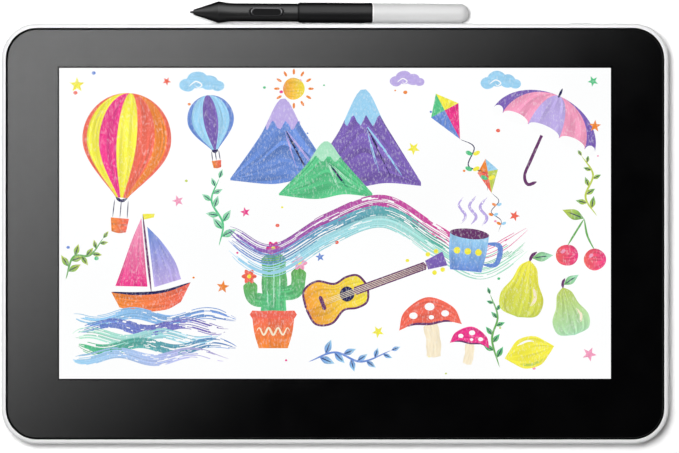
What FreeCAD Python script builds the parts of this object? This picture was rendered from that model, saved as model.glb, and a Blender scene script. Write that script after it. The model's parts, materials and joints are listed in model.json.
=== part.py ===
import FreeCAD, Part
import math
import os
import re
import Sketcher
from FreeCAD import Vector

# A 13 inch pen display: a flat screen tablet that is drawn on with a battery-free pen.
# It lies on four rubber feet. The pen lies on the desk against its rear edge.
# Two legs fold out of pockets in the underside and raise the rear edge.
#
# Frame: +X to the user's right, +Y to the rear edge, +Z up. The desk is at z = 0.
# The tablet's pieces are drawn about the tablet's own middle, and each of them is then
# shifted by the same amount, so that the origin lies in the middle of tablet and pen.
# The pen's pieces are drawn about the pen's axis, with the nib's tip at 0, and then laid down.

doc = FreeCAD.newDocument("pen_tablet")

# Driving dimensions, in millimetres
DRIVING = {
    # Tablet outline and rear housing
    "tablet_width": 357.0,
    "tablet_depth": 225.0,
    "tablet_height": 14.6,
    "corner_radius": 19.2,
    "rim_width": 2.6,
    "rim_drop": 0.25,
    "rim_round": 2.4,
    "belly_round": 5.5,
    "inner_bevel": 1.2,
    "floor_wall": 1.8,
    "panel_gap": 0.15,
    # Front sheet and what is bonded to it
    "glass_thickness": 1.1,
    "glass_bevel": 0.9,
    "glass_bevel_drop": 0.5,
    "print_thickness": 0.1,
    "print_gap": 0.02,
    "print_margin": 1.0,
    "gasket_thickness": 0.4,
    "gasket_width": 5.0,
    "gasket_margin": 0.3,
    # Screen and the layers behind it
    "side_border": 31.0,
    "rear_border": 23.85,
    "front_border": 34.95,
    "cell_border": 3.6,
    "cell_thickness": 1.3,
    "sheets_thickness": 0.5,
    "guide_thickness": 1.2,
    "reflector_thickness": 0.2,
    "tray_floor": 0.3,
    "tray_wall": 0.8,
    "layer_gap": 0.1,
    "led_depth": 2.2,
    "led_height": 1.0,
    "sensor_thickness": 0.7,
    "shield_thickness": 0.3,
    "driver_width": 150.0,
    "driver_depth": 6.0,
    "driver_thickness": 0.8,
    "driver_gap": 1.0,
    "flex_width": 120.0,
    "flex_thickness": 0.2,
    "flex_rise": 0.3,
    "flex_lap": 1.0,
    "display_cable_width": 20.0,
    "sensor_cable_width": 15.0,
    "sensor_cable_inset": 18.5,
    "cable_gap": 0.1,
    "cable_reach": 7.0,
    "sensor_drop": 10.0,
    "slot_room": 1.0,
    # Middle frame
    "frame_gap": 0.3,
    "frame_lift": 0.2,
    "frame_plate": 1.0,
    "frame_wall": 3.0,
    "locating_wall": 1.2,
    "locating_gap": 0.4,
    "rib_thickness": 1.0,
    "rib_height": 3.4,
    "rib_margin": 14.0,
    "rib_count": 13,
    "notch_room": 3.0,
    "notch_gap": 0.4,
    # Feet, screws and their bosses
    "foot_height": 1.0,
    "foot_seat": 0.6,
    "foot_clearance": 0.1,
    "foot_bevel": 0.3,
    "front_foot_length": 62.0,
    "front_foot_depth": 9.0,
    "front_foot_inset": 73.5,
    "rear_foot_diameter": 12.0,
    "rear_foot_inset": 18.5,
    "foot_edge_inset": 16.5,
    "screw_spread": 22.0,
    "screw_diameter": 2.0,
    "screw_head": 3.8,
    "screw_head_height": 1.0,
    "screw_reach": 2.4,
    "screw_clearance": 0.03,
    "screw_hole_gap": 0.1,
    "screw_head_gap": 0.2,
    "screw_end_gap": 0.1,
    "boss_diameter": 6.4,
    "blind_depth": 0.6,
    # Fold-out legs
    "leg_inset": 83.5,
    "leg_width": 52.0,
    "leg_length": 68.0,
    "leg_thickness": 4.4,
    "leg_corner": 7.0,
    "leg_gap": 0.4,
    "leg_side_gap": 0.3,
    "leg_pad_length": 5.0,
    "leg_pad_inset": 6.0,
    "leg_tongue": 2.5,
    "leg_tongue_thickness": 1.6,
    "leg_skin": 1.8,
    "leg_recess_from": 12.0,
    "leg_recess_length": 34.0,
    "leg_recess_width": 40.0,
    "leg_recess_corner": 2.0,
    "leg_pad_corner": 4.5,
    "leg_pad_nose": 1.2,
    "tongue_clearance": 0.05,
    "hinge_inset": 22.5,
    "hinge_pin_diameter": 2.0,
    "hinge_pin_grip": 3.0,
    "hinge_clearance": 0.05,
    "pocket_roof": 1.2,
    "pocket_wall": 2.0,
    "finger_radius": 9.0,
    "finger_depth": 2.6,
    # Nib store under the left leg
    "store_gap": 1.0,
    "store_thickness": 2.5,
    "store_corner": 1.0,
    "store_slack": 0.05,
    "spare_nib_length": 22.0,
    "spare_nib_pitch": 3.6,
    "nib_row_gap": 2.0,
    "nib_end_gap": 0.3,
    "puller_diameter": 9.0,
    "puller_hole": 4.4,
    "puller_thickness": 1.8,
    "puller_inset": 1.5,
    # Main board and the openings of the rear edge
    "board_thickness": 1.0,
    "board_height": 1.6,
    "board_leg_gap": 39.0,
    "board_depth": 68.0,
    "board_margin": 5.0,
    "strip_depth": 9.5,
    "strip_inset": 28.5,
    "standoff_diameter": 5.0,
    "standoff_inset": 5.0,
    "strip_root": 20.0,
    "board_setback": 2.5,
    "chip_height": 1.0,
    "main_chip": 14.0,
    "power_chip": 10.0,
    "power_chip_inset": 22.0,
    "memory_chip": 8.0,
    "memory_chip_inset": 26.0,
    "chip_row": 32.0,
    "plug_depth": 5.0,
    "plug_inset": 1.5,
    "port_inset": 73.5,
    "port_width": 8.94,
    "port_height": 3.26,
    "port_length": 7.35,
    "port_shell": 0.25,
    "port_setback": 0.7,
    "port_clearance": 0.25,
    "port_back": 1.0,
    "tongue_thickness": 0.7,
    "tongue_width": 6.69,
    "button_inset": 46.5,
    "button_length": 11.0,
    "button_height": 3.2,
    "button_proud": 0.5,
    "button_flange": 0.8,
    "button_lap": 1.0,
    "button_clearance": 0.15,
    "button_travel": 0.4,
    "button_edge": 0.4,
    "power_switch_width": 6.0,
    "power_switch_depth": 3.0,
    "plunger_diameter": 1.8,
    "plunger_length": 0.9,
    "plunger_gap": 0.1,
    "lens_inset": 35.5,
    "lens_diameter": 1.6,
    "lens_clearance": 0.05,
    "lens_foot": 3.2,
    "lens_foot_setback": 1.5,
    # Pen, lengths measured from the nib's tip
    "pen_length": 150.1,
    "pen_tip_x": 77.95,
    "pen_gap": 0.7,
    "nose_at": 1.9,
    "nose_radius": 1.35,
    "flare_at": 15.5,
    "flare_radius": 5.8,
    "flare_round": 0.9,
    "waist_at": 25.2,
    "waist_radius": 4.82,
    "grip_end": 57.8,
    "barrel_radius": 5.38,
    "barrel_end": 97.95,
    "shoulder_drop": 0.55,
    "shoulder_length": 1.0,
    "cap_radius": 5.2,
    "cap_shell": 0.8,
    "seam_gap": 0.15,
    "seam_bevel": 0.25,
    "grip_wall": 0.92,
    "shell_wall": 0.75,
    "bore_start": 14.5,
    "spigot_length": 6.0,
    "spigot_stop": 1.2,
    "spigot_clearance": 0.03,
    "nib_diameter": 1.6,
    "nib_length": 22.0,
    "nib_point": 2.2,
    "nib_tip_radius": 0.5,
    "nib_clearance": 0.12,
    "nib_travel": 0.3,
    "nib_slack": 0.05,
    "ferrite_from": 6.5,
    "ferrite_length": 12.5,
    "ferrite_diameter": 3.4,
    "ferrite_gap": 0.3,
    "ferrite_room": 0.2,
    "coil_from": 9.0,
    "coil_length": 8.5,
    "coil_thickness": 0.45,
    "sensor_length": 6.0,
    "sensor_diameter": 4.6,
    "carrier_end": 94.0,
    "carrier_wall": 0.6,
    "carrier_clearance": 0.05,
    "carrier_ring": 2.0,
    "pen_board_thickness": 0.8,
    "pen_board_drop": 1.2,
    "pen_board_gap": 0.2,
    "switch_at": 41.25,
    "switch_length": 16.4,
    "switch_width": 3.5,
    "switch_gap": 0.25,
    "switch_proud": 0.35,
    "switch_rim": 0.45,
    "switch_dish": 0.5,
    "switch_flange": 1.3,
    "switch_flange_gap": 0.05,
    "switch_end_lap": 1.0,
    "switch_side_lap": 0.4,
    "switch_travel": 0.3,
    "contact_length": 4.0,
    "contact_width": 3.0,
    "contact_gap": 0.1,
    "ring_length": 18.6,
    "ring_width": 5.1,
    "ring_depth": 0.3,
}

sizes = doc.addObject("Spreadsheet::Sheet", "sizes")
for row, (alias, number) in enumerate(DRIVING.items(), start=1):
    sizes.set(f"A{row}", alias)
    sizes.set(f"B{row}", str(number))
    sizes.setAlias(f"B{row}", alias)
doc.recompute()

# Heights and places that follow from the driving dimensions
LEVELS = {
    "rim_top": "tablet_height - rim_drop",
    "floor_top": "foot_height + floor_wall",
    "panel_width": "tablet_width - 2 * rim_width",
    "panel_depth": "tablet_depth - 2 * rim_width",
    "panel_corner": "corner_radius - rim_width",
    "cavity_width": "panel_width + 2 * panel_gap",
    "cavity_depth": "panel_depth + 2 * panel_gap",
    "cavity_corner": "panel_corner + panel_gap",
    "front_foot_x": "tablet_width / 2 - front_foot_inset",
    "rear_foot_x": "tablet_width / 2 - rear_foot_inset",
    "foot_y": "tablet_depth / 2 - foot_edge_inset",
    "leg_x": "tablet_width / 2 - leg_inset",
    "board_half_width": "leg_x - board_leg_gap",
    "sensor_cable_x": "board_half_width - sensor_cable_inset",
    "power_chip_x": "board_half_width - power_chip_inset",
    "memory_chip_x": "board_half_width - memory_chip_inset",
    "hinge_y": "tablet_depth / 2 - hinge_inset",
    "leg_top": "foot_height + leg_thickness",
    "roof_under": "leg_top + leg_gap",
    "roof_top": "roof_under + pocket_roof",
    "frame_under": "roof_top + frame_lift",
    "frame_top": "frame_under + frame_plate",
    "glass_under": "tablet_height - glass_thickness",
    "print_under": "glass_under - print_gap - print_thickness",
    "gasket_under": "print_under - gasket_thickness",
    "shield_top": "frame_top + shield_thickness",
    "sensor_top": "shield_top + sensor_thickness",
    "tray_top": "sensor_top + tray_floor",
    "reflector_top": "tray_top + reflector_thickness",
    "guide_top": "reflector_top + guide_thickness",
    "sheets_top": "guide_top + sheets_thickness",
    "cell_under": "sheets_top + layer_gap",
    "cell_top": "cell_under + cell_thickness",
    "screen_width": "tablet_width - 2 * side_border",
    "screen_height": "tablet_depth - front_border - rear_border",
    "screen_offset": "(front_border - rear_border) / 2",
    "cell_width": "screen_width + 2 * cell_border",
    "cell_height": "screen_height + 2 * cell_border",
    "cell_front": "screen_offset - cell_height / 2",
    "cell_rear": "screen_offset + cell_height / 2",
    "layer_width": "cell_width - 2 * tray_wall - 2 * layer_gap",
    "layer_front": "cell_front + tray_wall + layer_gap",
    "layer_rear": "cell_rear - tray_wall - layer_gap",
    "locating_inner_x": "cell_width / 2 + locating_gap",
    "locating_front": "cell_front - locating_gap",
    "locating_rear": "cell_rear + locating_gap",
    "driver_rear": "locating_front - locating_wall - driver_gap",
    "driver_middle": "driver_rear - driver_depth / 2",
    "cable_top": "frame_under - cable_gap",
    "cable_under": "cable_top - flex_thickness",
    "frame_width": "cavity_width - 2 * frame_gap",
    "frame_depth": "cavity_depth - 2 * frame_gap",
    "frame_corner": "cavity_corner - frame_gap",
    "hinge_z": "foot_height + leg_thickness / 2",
    "leg_rear": "hinge_y + leg_thickness / 2",
    "leg_front": "hinge_y - leg_length",
    "pocket_front": "leg_front - leg_gap",
    "pocket_rear": "leg_rear + leg_gap",
    "pocket_half": "leg_width / 2 + leg_side_gap",
    "recess_rear": "hinge_y - leg_recess_from",
    "recess_front": "recess_rear - leg_recess_length",
    "store_rear": "recess_rear - store_gap",
    "store_front": "recess_front + store_gap",
    "store_half": "leg_recess_width / 2 - store_gap",
    "store_under": "roof_under - store_thickness",
    "nib_groove_z": "store_under + nib_diameter / 2",
    "puller_y": "store_front + puller_inset + puller_diameter / 2",
    "nib_row_y": "puller_y + puller_diameter / 2 + nib_row_gap + nib_diameter / 2",
    "board_under": "floor_top + board_height",
    "board_top": "board_under + board_thickness",
    "wall_inside": "cavity_depth / 2",
    "board_rear": "wall_inside - board_setback",
    "board_front": "board_rear - board_margin - board_depth",
    "strip_front": "board_rear - strip_depth",
    "strip_end": "tablet_width / 2 - strip_inset",
    "port_x": "tablet_width / 2 - port_inset",
    "button_x": "tablet_width / 2 - button_inset",
    "lens_x": "tablet_width / 2 - lens_inset",
    "port_z": "board_top + port_height / 2 + port_shell",
    "port_face": "tablet_depth / 2 - port_setback",
    "button_inside": "wall_inside - button_clearance - button_flange",
    "button_face": "tablet_depth / 2 + button_proud",
    "flange_length": "button_length + 2 * button_lap",
    "flange_height": "button_height + button_lap",
    "plunger_face": "button_inside - button_travel - plunger_gap",
    "power_switch_rear": "plunger_face - plunger_length + plunger_gap",
    "screw_tip": "frame_top + screw_reach",
    "boss_top": "screw_tip + blind_depth",
    "frame_shift": "(pen_gap + 2 * flare_radius) / 2",
    "dome_from": "pen_length - cap_radius",
    "pen_lean": "(flare_radius - cap_radius) / (dome_from - flare_at)",
    "pen_turn": "asin(sqrt(2) * pen_lean)",
    "pen_axis_y": "tablet_depth / 2 + pen_gap + flare_radius + flare_at * pen_lean - frame_shift",
    "pen_axis_z": "flare_radius + flare_at * pen_lean",
    "crest_up": "flare_radius - flare_round",
    "cone_run": "flare_at - nose_at",
    "cone_rise": "crest_up - nose_radius",
    "cone_angle": "atan2(cone_rise; cone_run) + asin(flare_round / sqrt(cone_rise ^ 2 + cone_run ^ 2))",
    "crest_start": "flare_at - flare_round * sin(cone_angle)",
    "crest_start_up": "crest_up + flare_round * cos(cone_angle)",
    "waist_run": "waist_at - flare_at",
    "waist_drop": "flare_radius - waist_radius",
    "waist_lift": "waist_radius - crest_up",
    "waist_round": "(waist_run ^ 2 + waist_lift ^ 2 - flare_round ^ 2) / (2 * waist_drop)",
    "waist_share": "flare_round / (waist_round + flare_round)",
    "crest_end": "flare_at + waist_share * waist_run",
    "crest_end_up": "crest_up + waist_share * (waist_lift + waist_round)",
    "bore_radius": "waist_radius - grip_wall",
    "carrier_radius": "bore_radius - carrier_clearance",
    "sensor_from": "nib_length + nib_travel + nib_slack",
    "sensor_back": "sensor_from + sensor_length",
    "pen_board_from": "sensor_back + pen_board_gap",
    "ferrite_back": "ferrite_from + ferrite_length",
    "nib_bore": "nib_diameter / 2 + nib_clearance",
    "barrel_bore": "barrel_radius - shell_wall",
    "cap_bore": "cap_radius - cap_shell",
    "pen_board_top": "pen_board_thickness - pen_board_drop",
    "switch_top": "waist_radius + switch_proud",
    "dish_floor": "switch_top - switch_dish",
    "switch_under": "bore_radius - switch_flange",
    "switch_slot_length": "switch_length + 2 * switch_gap",
    "switch_slot_width": "switch_width + 2 * switch_gap",
}

levels = doc.addObject("Spreadsheet::Sheet", "levels")
WORD = re.compile(r"[a-z][a-z_0-9]*")


def bound(text):
    """An expression in plain size names, with each name pointed at its spreadsheet."""

    def sheet_name(found):
        word = found.group(0)
        if word in DRIVING:
            return f"sizes.{word}"
        return f"levels.{word}" if word in LEVELS else word

    return WORD.sub(sheet_name, text)


for row, (alias, text) in enumerate(LEVELS.items(), start=1):
    levels.set(f"A{row}", alias)
    levels.set(f"B{row}", "=" + bound(text))
    levels.setAlias(f"B{row}", alias)
doc.recompute()


def value(text):
    """The number that an expression in size names has now."""
    return float(sizes.evalExpression(bound(text)))


# Sketches

def sketch_on(body, plane, name, lift="0"):
    """A sketch on one of the body's own origin planes, raised along that plane's normal."""
    base = next(o for o in body.Origin.OriginFeatures if o.Role == plane)
    sketch = body.newObject("Sketcher::SketchObject", name)
    sketch.AttachmentSupport = [(base, "")]
    sketch.MapMode = "FlatFace"
    sketch.setExpression("AttachmentOffset.Base.z", bound(lift))
    return sketch


def rule(sketch, kind, *where, text):
    """One dimension of a sketch, tied to an expression."""
    index = sketch.addConstraint(Sketcher.Constraint(kind, *where, value(text)))
    sketch.setExpression(f"Constraints[{index}]", bound(text))


def pin_point(sketch, geometry, vertex, across, up):
    """Ties a point of a sketch to its distances from the sketch's origin."""
    rule(sketch, "DistanceX", -1, 1, geometry, vertex, text=across)
    rule(sketch, "DistanceY", -1, 1, geometry, vertex, text=up)


def closed_lines(sketch, corners):
    """Straight lines from corner to corner and back to the first one."""
    first = sketch.GeometryCount
    places = [Vector(value(a), value(b)) for a, b in corners]
    count = len(places)
    for side in range(count):
        sketch.addGeometry(Part.LineSegment(places[side], places[(side + 1) % count]))
    for side in range(count):
        after = first + (side + 1) % count
        sketch.addConstraint(Sketcher.Constraint("Coincident", first + side, 2, after, 1))
    return first


def polygon(sketch, *corners):
    """A closed outline of straight sides whose every corner has its own place."""
    first = closed_lines(sketch, corners)
    for side, (across, up) in enumerate(corners):
        pin_point(sketch, first + side, 1, across, up)


def arc_about(centre, start, end, clockwise):
    """An arc from start to end. An arc's own first vertex is its end when it is drawn clockwise."""
    first, last = (end, start) if clockwise else (start, end)
    circle_line = Part.Circle(centre, Vector(0, 0, 1), (start - centre).Length)
    angles = [math.atan2(p.y - centre.y, p.x - centre.x) for p in (first, last)]
    return Part.ArcOfCircle(circle_line, *angles)


def profile(sketch, corners, arcs):
    """A closed outline. A side named in arcs turns about a tied centre: (centre across, centre up, clockwise).

    The corner where an arc ends is tied by one distance only, since the arc's radius gives the other.
    """
    places = [Vector(value(a), value(b)) for a, b in corners]
    count = len(corners)
    sides = []
    for side in range(count):
        start, end = places[side], places[(side + 1) % count]
        if side in arcs:
            across, up, clockwise = arcs[side]
            centre = Vector(value(across), value(up))
            line = sketch.addGeometry(arc_about(centre, start, end, clockwise))
            pin_point(sketch, line, 3, across, up)
            sides.append((line, 2, 1) if clockwise else (line, 1, 2))
        else:
            sides.append((sketch.addGeometry(Part.LineSegment(start, end)), 1, 2))
    for side in range(count):
        line, _, last = sides[side]
        after, first, _ = sides[(side + 1) % count]
        sketch.addConstraint(Sketcher.Constraint("Coincident", line, last, after, first))
    for side, (across, up) in enumerate(corners):
        line, first, _ = sides[side]
        after_arc = (side - 1) % count in arcs
        if not after_arc or up != "0":
            rule(sketch, "DistanceX", -1, 1, line, first, text=across)
        if not after_arc or up == "0":
            rule(sketch, "DistanceY", -1, 1, line, first, text=up)


def rectangle(sketch, left, front, right, rear):
    """An upright rectangle, tied at two opposite corners."""
    first = closed_lines(sketch, [(left, front), (right, front), (right, rear), (left, rear)])
    for side in range(4):
        level = "Vertical" if side % 2 else "Horizontal"
        sketch.addConstraint(Sketcher.Constraint(level, first + side))
    pin_point(sketch, first, 1, left, front)
    pin_point(sketch, first + 2, 1, right, rear)


def circle(sketch, across, up, radius):
    """A circle about a tied centre."""
    place = Vector(value(across), value(up))
    ring = sketch.addGeometry(Part.Circle(place, Vector(0, 0, 1), value(radius)))
    pin_point(sketch, ring, 3, across, up)
    rule(sketch, "Radius", ring, text=radius)


def corner_arc(sketch, middle, radius, quarter):
    """A quarter circle, counted from the right in steps of 90 degrees."""
    full = Part.Circle(middle, Vector(0, 0, 1), radius)
    start = quarter * math.pi / 2
    return sketch.addGeometry(Part.ArcOfCircle(full, start, start + math.pi / 2))


def round_rectangle(sketch, left, front, right, rear, radius):
    """A rectangle with four equal round corners: four sides and four tangent arcs."""
    x0, y0, x1, y1, r = (value(t) for t in (left, front, right, rear, radius))
    ends = [
        (Vector(x0 + r, y0), Vector(x1 - r, y0)),
        (Vector(x1, y0 + r), Vector(x1, y1 - r)),
        (Vector(x1 - r, y1), Vector(x0 + r, y1)),
        (Vector(x0, y1 - r), Vector(x0, y0 + r)),
    ]
    sides = [sketch.addGeometry(Part.LineSegment(a, b)) for a, b in ends]
    middles = [Vector(x1 - r, y0 + r), Vector(x1 - r, y1 - r), Vector(x0 + r, y1 - r), Vector(x0 + r, y0 + r)]
    arcs = [corner_arc(sketch, m, r, (quarter + 3) % 4) for quarter, m in enumerate(middles)]
    for side in range(4):
        level = "Vertical" if side % 2 else "Horizontal"
        sketch.addConstraint(Sketcher.Constraint(level, sides[side]))
        sketch.addConstraint(Sketcher.Constraint("Tangent", sides[side], 2, arcs[side], 1))
        sketch.addConstraint(Sketcher.Constraint("Tangent", arcs[side], 2, sides[(side + 1) % 4], 1))
    for arc in arcs[1:]:
        sketch.addConstraint(Sketcher.Constraint("Equal", arcs[0], arc))
    rule(sketch, "Radius", arcs[0], text=radius)
    rule(sketch, "DistanceY", -1, 1, sides[0], 1, text=front)
    rule(sketch, "DistanceX", -1, 1, sides[1], 1, text=right)
    rule(sketch, "DistanceY", -1, 1, sides[2], 1, text=rear)
    rule(sketch, "DistanceX", -1, 1, sides[3], 1, text=left)


def stadium(sketch, across, up, length, height):
    """A pill outline that lies along the sketch's first axis: two half circles and two lines."""
    x, y, long, high = (value(t) for t in (across, up, length, height))
    r, reach = high / 2, (long - high) / 2
    axis, quarter = Vector(0, 0, 1), math.pi / 2
    right_circle = Part.Circle(Vector(x + reach, y), axis, r)
    left_circle = Part.Circle(Vector(x - reach, y), axis, r)
    low = sketch.addGeometry(Part.LineSegment(Vector(x - reach, y - r), Vector(x + reach, y - r)))
    end = sketch.addGeometry(Part.ArcOfCircle(right_circle, -quarter, quarter))
    top = sketch.addGeometry(Part.LineSegment(Vector(x + reach, y + r), Vector(x - reach, y + r)))
    start = sketch.addGeometry(Part.ArcOfCircle(left_circle, quarter, 3 * quarter))
    for first, second in ((low, end), (end, top), (top, start), (start, low)):
        sketch.addConstraint(Sketcher.Constraint("Tangent", first, 2, second, 1))
    sketch.addConstraint(Sketcher.Constraint("Equal", end, start))
    rule(sketch, "Radius", end, text=f"({height}) / 2")
    pin_point(sketch, end, 3, f"({across}) + (({length}) - ({height})) / 2", up)
    pin_point(sketch, start, 3, f"({across}) - (({length}) - ({height})) / 2", up)


# Features

def new_body(label, home="tablet"):
    """An empty body. Tablet pieces share one shift, and pen pieces share the pen's resting place."""
    body = doc.addObject("PartDesign::Body", label)
    body.Label = label
    settle(body, home)
    return body


def settle(piece, home):
    """Binds a piece's placement to where its home, the tablet or the pen, lies."""
    if home == "tablet":
        piece.setExpression("Placement.Base.y", bound("0 - frame_shift"))
    if home == "pen":
        place = "vector(0 - pen_tip_x; pen_axis_y; pen_axis_z)"
        turn = "rotation(vector(0; 1; -1); pen_turn)"
        piece.setExpression("Placement", bound(f"placement({place}; {turn})"))


def solid_step(body, kind, sketch, length=None, reverse=False):
    """A pad, pocket, revolution or groove made from one sketch."""
    feature = body.newObject(f"PartDesign::{kind}", f"{sketch.Name}_{kind.lower()}")
    feature.Profile = sketch
    if kind in ("Revolution", "Groove"):
        feature.ReferenceAxis = (sketch, ["H_Axis"])
        feature.Angle = 360
    else:
        feature.setExpression("Length", bound(length))
        feature.Reversed = reverse
    sketch.Visibility = False
    body.Tip = feature
    return feature


def pad(body, sketch, length, reverse=False):
    return solid_step(body, "Pad", sketch, length, reverse)


def pocket(body, sketch, length, reverse=False):
    return solid_step(body, "Pocket", sketch, length, reverse)


def edges_where(feature, test):
    """The names of a feature's edges that pass a test."""
    doc.recompute()
    return [f"Edge{i}" for i, edge in enumerate(feature.Shape.Edges, start=1) if test(edge)]


def at_height(text, least=0.0, most=1e9, across=None):
    """A test for edges that lie in one level plane and whose middle is so far from the Z axis."""
    height = value(text)

    def test(edge):
        box = edge.BoundBox
        level = abs(box.ZMin - height) < 1e-4 and abs(box.ZMax - height) < 1e-4
        return level and least <= edge.Length <= most and (across is None or across(box.Center))

    return test


def blend_edges(body, kind, feature, test, size):
    """A fillet or a chamfer on the edges that pass a test."""
    names = edges_where(feature, test)
    if not names:
        raise RuntimeError(f"{body.Label}: no edge for its {kind}")
    blend = body.newObject(f"PartDesign::{kind}", f"{body.Name}_{kind.lower()}")
    blend.Base = (feature, names)
    blend.setExpression("Radius" if kind == "Fillet" else "Size", bound(size))
    body.Tip = blend
    return blend


def plate(label, box, under, thickness, radius=None):
    """A flat piece: its outline from left, front, right and rear, its underside's height, its thickness."""
    body = new_body(label)
    outline = sketch_on(body, "XY_Plane", label + "_outline", under)
    if radius is None:
        rectangle(outline, *box)
    else:
        round_rectangle(outline, *box, radius)
    pad(body, outline, thickness)
    return body


def about_middle(width, depth, middle_y="0"):
    """Left, front, right and rear of a rectangle about x = 0."""
    return (
        f"0 - ({width}) / 2",
        f"({middle_y}) - ({depth}) / 2",
        f"({width}) / 2",
        f"({middle_y}) + ({depth}) / 2",
    )


def both_sides(middle_x, half, front, rear):
    """Two rectangles, left and right of the tablet's middle line."""
    return [
        (f"0 - ({middle_x}) - ({half})", front, f"0 - ({middle_x}) + ({half})", rear),
        (f"({middle_x}) - ({half})", front, f"({middle_x}) + ({half})", rear),
    ]


SCREW_PLACES = [
    (f"{side} (front_foot_x {turn} screw_spread)", "0 - foot_y")
    for side in ("0 -", "0 +")
    for turn in ("-", "+")
] + [(f"{side} rear_foot_x", "foot_y") for side in ("0 -", "0 +")]

STANDOFF_PLACES = [
    (f"{side} (board_half_width - standoff_inset)", across)
    for side in ("0 -", "0 +")
    for across in ("board_front + standoff_inset", "board_rear - standoff_inset - board_margin")
]


# Rear housing: a tub with a rounded rim and belly, two leg pockets, bosses and three rear openings

def make_rear_housing():
    body = new_body("rear_housing")
    outline = sketch_on(body, "XY_Plane", "housing_outline", "foot_height")
    round_rectangle(outline, *about_middle("tablet_width", "tablet_depth"), "corner_radius")
    block = pad(body, outline, "rim_top - foot_height")
    rim = blend_edges(body, "Fillet", block, at_height("rim_top"), "rim_round")
    belly = blend_edges(body, "Fillet", rim, at_height("foot_height"), "belly_round")

    cavity = sketch_on(body, "XY_Plane", "housing_cavity", "rim_top")
    round_rectangle(cavity, *about_middle("cavity_width", "cavity_depth"), "cavity_corner")
    hollow = pocket(body, cavity, "rim_top - floor_top")
    blend_edges(body, "Chamfer", hollow, at_height("floor_top"), "inner_bevel")

    add_pocket_roofs(body)
    add_bosses(body)
    cut_leg_pockets(body)
    cut_hinge_holes(body)
    cut_foot_seats(body)
    cut_rear_openings(body)
    return body


def add_pocket_roofs(body):
    roofs = sketch_on(body, "XY_Plane", "pocket_roofs", "floor_top - floor_wall / 2")
    half = "pocket_half + hinge_pin_grip + pocket_wall"
    for box in both_sides("leg_x", half, "pocket_front - pocket_wall", "pocket_rear + pocket_wall"):
        rectangle(roofs, *box)
    pad(body, roofs, "roof_top - floor_top + floor_wall / 2")
    scoops = sketch_on(body, "XY_Plane", "finger_roofs", "floor_top - floor_wall / 2")
    for side in ("0 -", "0 +"):
        circle(scoops, f"{side} leg_x", "pocket_front", "finger_radius + pocket_wall")
    pad(body, scoops, "foot_height + finger_depth + pocket_roof - floor_top + floor_wall / 2")


def add_bosses(body):
    bosses = sketch_on(body, "XY_Plane", "screw_bosses", "floor_top - floor_wall / 2")
    for across, up in SCREW_PLACES:
        circle(bosses, across, up, "boss_diameter / 2")
    pad(body, bosses, "frame_under - floor_top + floor_wall / 2")
    standoffs = sketch_on(body, "XY_Plane", "board_standoffs", "floor_top - floor_wall / 2")
    for across, up in STANDOFF_PLACES:
        circle(standoffs, across, up, "standoff_diameter / 2")
    pad(body, standoffs, "board_under - floor_top + floor_wall / 2")


def cut_leg_pockets(body):
    pockets = sketch_on(body, "XY_Plane", "leg_pockets", "foot_height")
    for box in both_sides("leg_x", "pocket_half", "pocket_front", "pocket_rear"):
        round_rectangle(pockets, *box, "leg_gap")
    pocket(body, pockets, "roof_under - foot_height", reverse=True)
    scoops = sketch_on(body, "XY_Plane", "finger_scoops", "foot_height")
    for side in ("0 -", "0 +"):
        circle(scoops, f"{side} leg_x", "pocket_front", "finger_radius")
    pocket(body, scoops, "finger_depth", reverse=True)


def cut_hinge_holes(body):
    for name, start in (
        ("left_hinge_hole", "0 - leg_x - pocket_half - hinge_pin_grip"),
        ("right_hinge_hole", "leg_x - pocket_half - hinge_pin_grip"),
    ):
        hole = sketch_on(body, "YZ_Plane", name, start)
        circle(hole, "hinge_y", "hinge_z", "hinge_pin_diameter / 2")
        pocket(body, hole, "2 * (pocket_half + hinge_pin_grip)", reverse=True)


def cut_foot_seats(body):
    seats = sketch_on(body, "XY_Plane", "foot_seats", "foot_height")
    for side in ("0 -", "0 +"):
        stadium(seats, f"{side} front_foot_x", "0 - foot_y", "front_foot_length", "front_foot_depth")
        circle(seats, f"{side} rear_foot_x", "foot_y", "rear_foot_diameter / 2")
    pocket(body, seats, "foot_seat", reverse=True)
    heads = sketch_on(body, "XY_Plane", "screw_head_seats", "foot_height + foot_seat")
    holes = sketch_on(body, "XY_Plane", "screw_holes", "foot_height + foot_seat")
    for across, up in SCREW_PLACES:
        circle(heads, across, up, "screw_head / 2 + screw_head_gap")
        circle(holes, across, up, "screw_diameter / 2 + screw_hole_gap")
    pocket(body, heads, "screw_head_height + screw_end_gap", reverse=True)
    pocket(body, holes, "frame_under - foot_height", reverse=True)
    pilots = sketch_on(body, "XY_Plane", "standoff_pilots", "board_under")
    for across, up in STANDOFF_PLACES:
        circle(pilots, across, up, "screw_diameter / 2 + screw_clearance")
    pocket(body, pilots, "board_height")


def cut_rear_openings(body):
    openings = sketch_on(body, "XZ_Plane", "rear_openings", "0 - tablet_depth / 2")
    play = "2 * (port_shell + port_clearance)"
    stadium(openings, "port_x", "port_z", f"port_width + {play}", f"port_height + {play}")
    play = "2 * button_clearance"
    stadium(openings, "button_x", "port_z", f"button_length + {play}", f"button_height + {play}")
    circle(openings, "lens_x", "port_z", "lens_diameter / 2 + lens_clearance")
    pocket(body, openings, "tablet_depth / 2 - wall_inside + inner_bevel", reverse=True)


# Middle frame: a ribbed tray that carries the screen stack and takes the housing's screws

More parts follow.
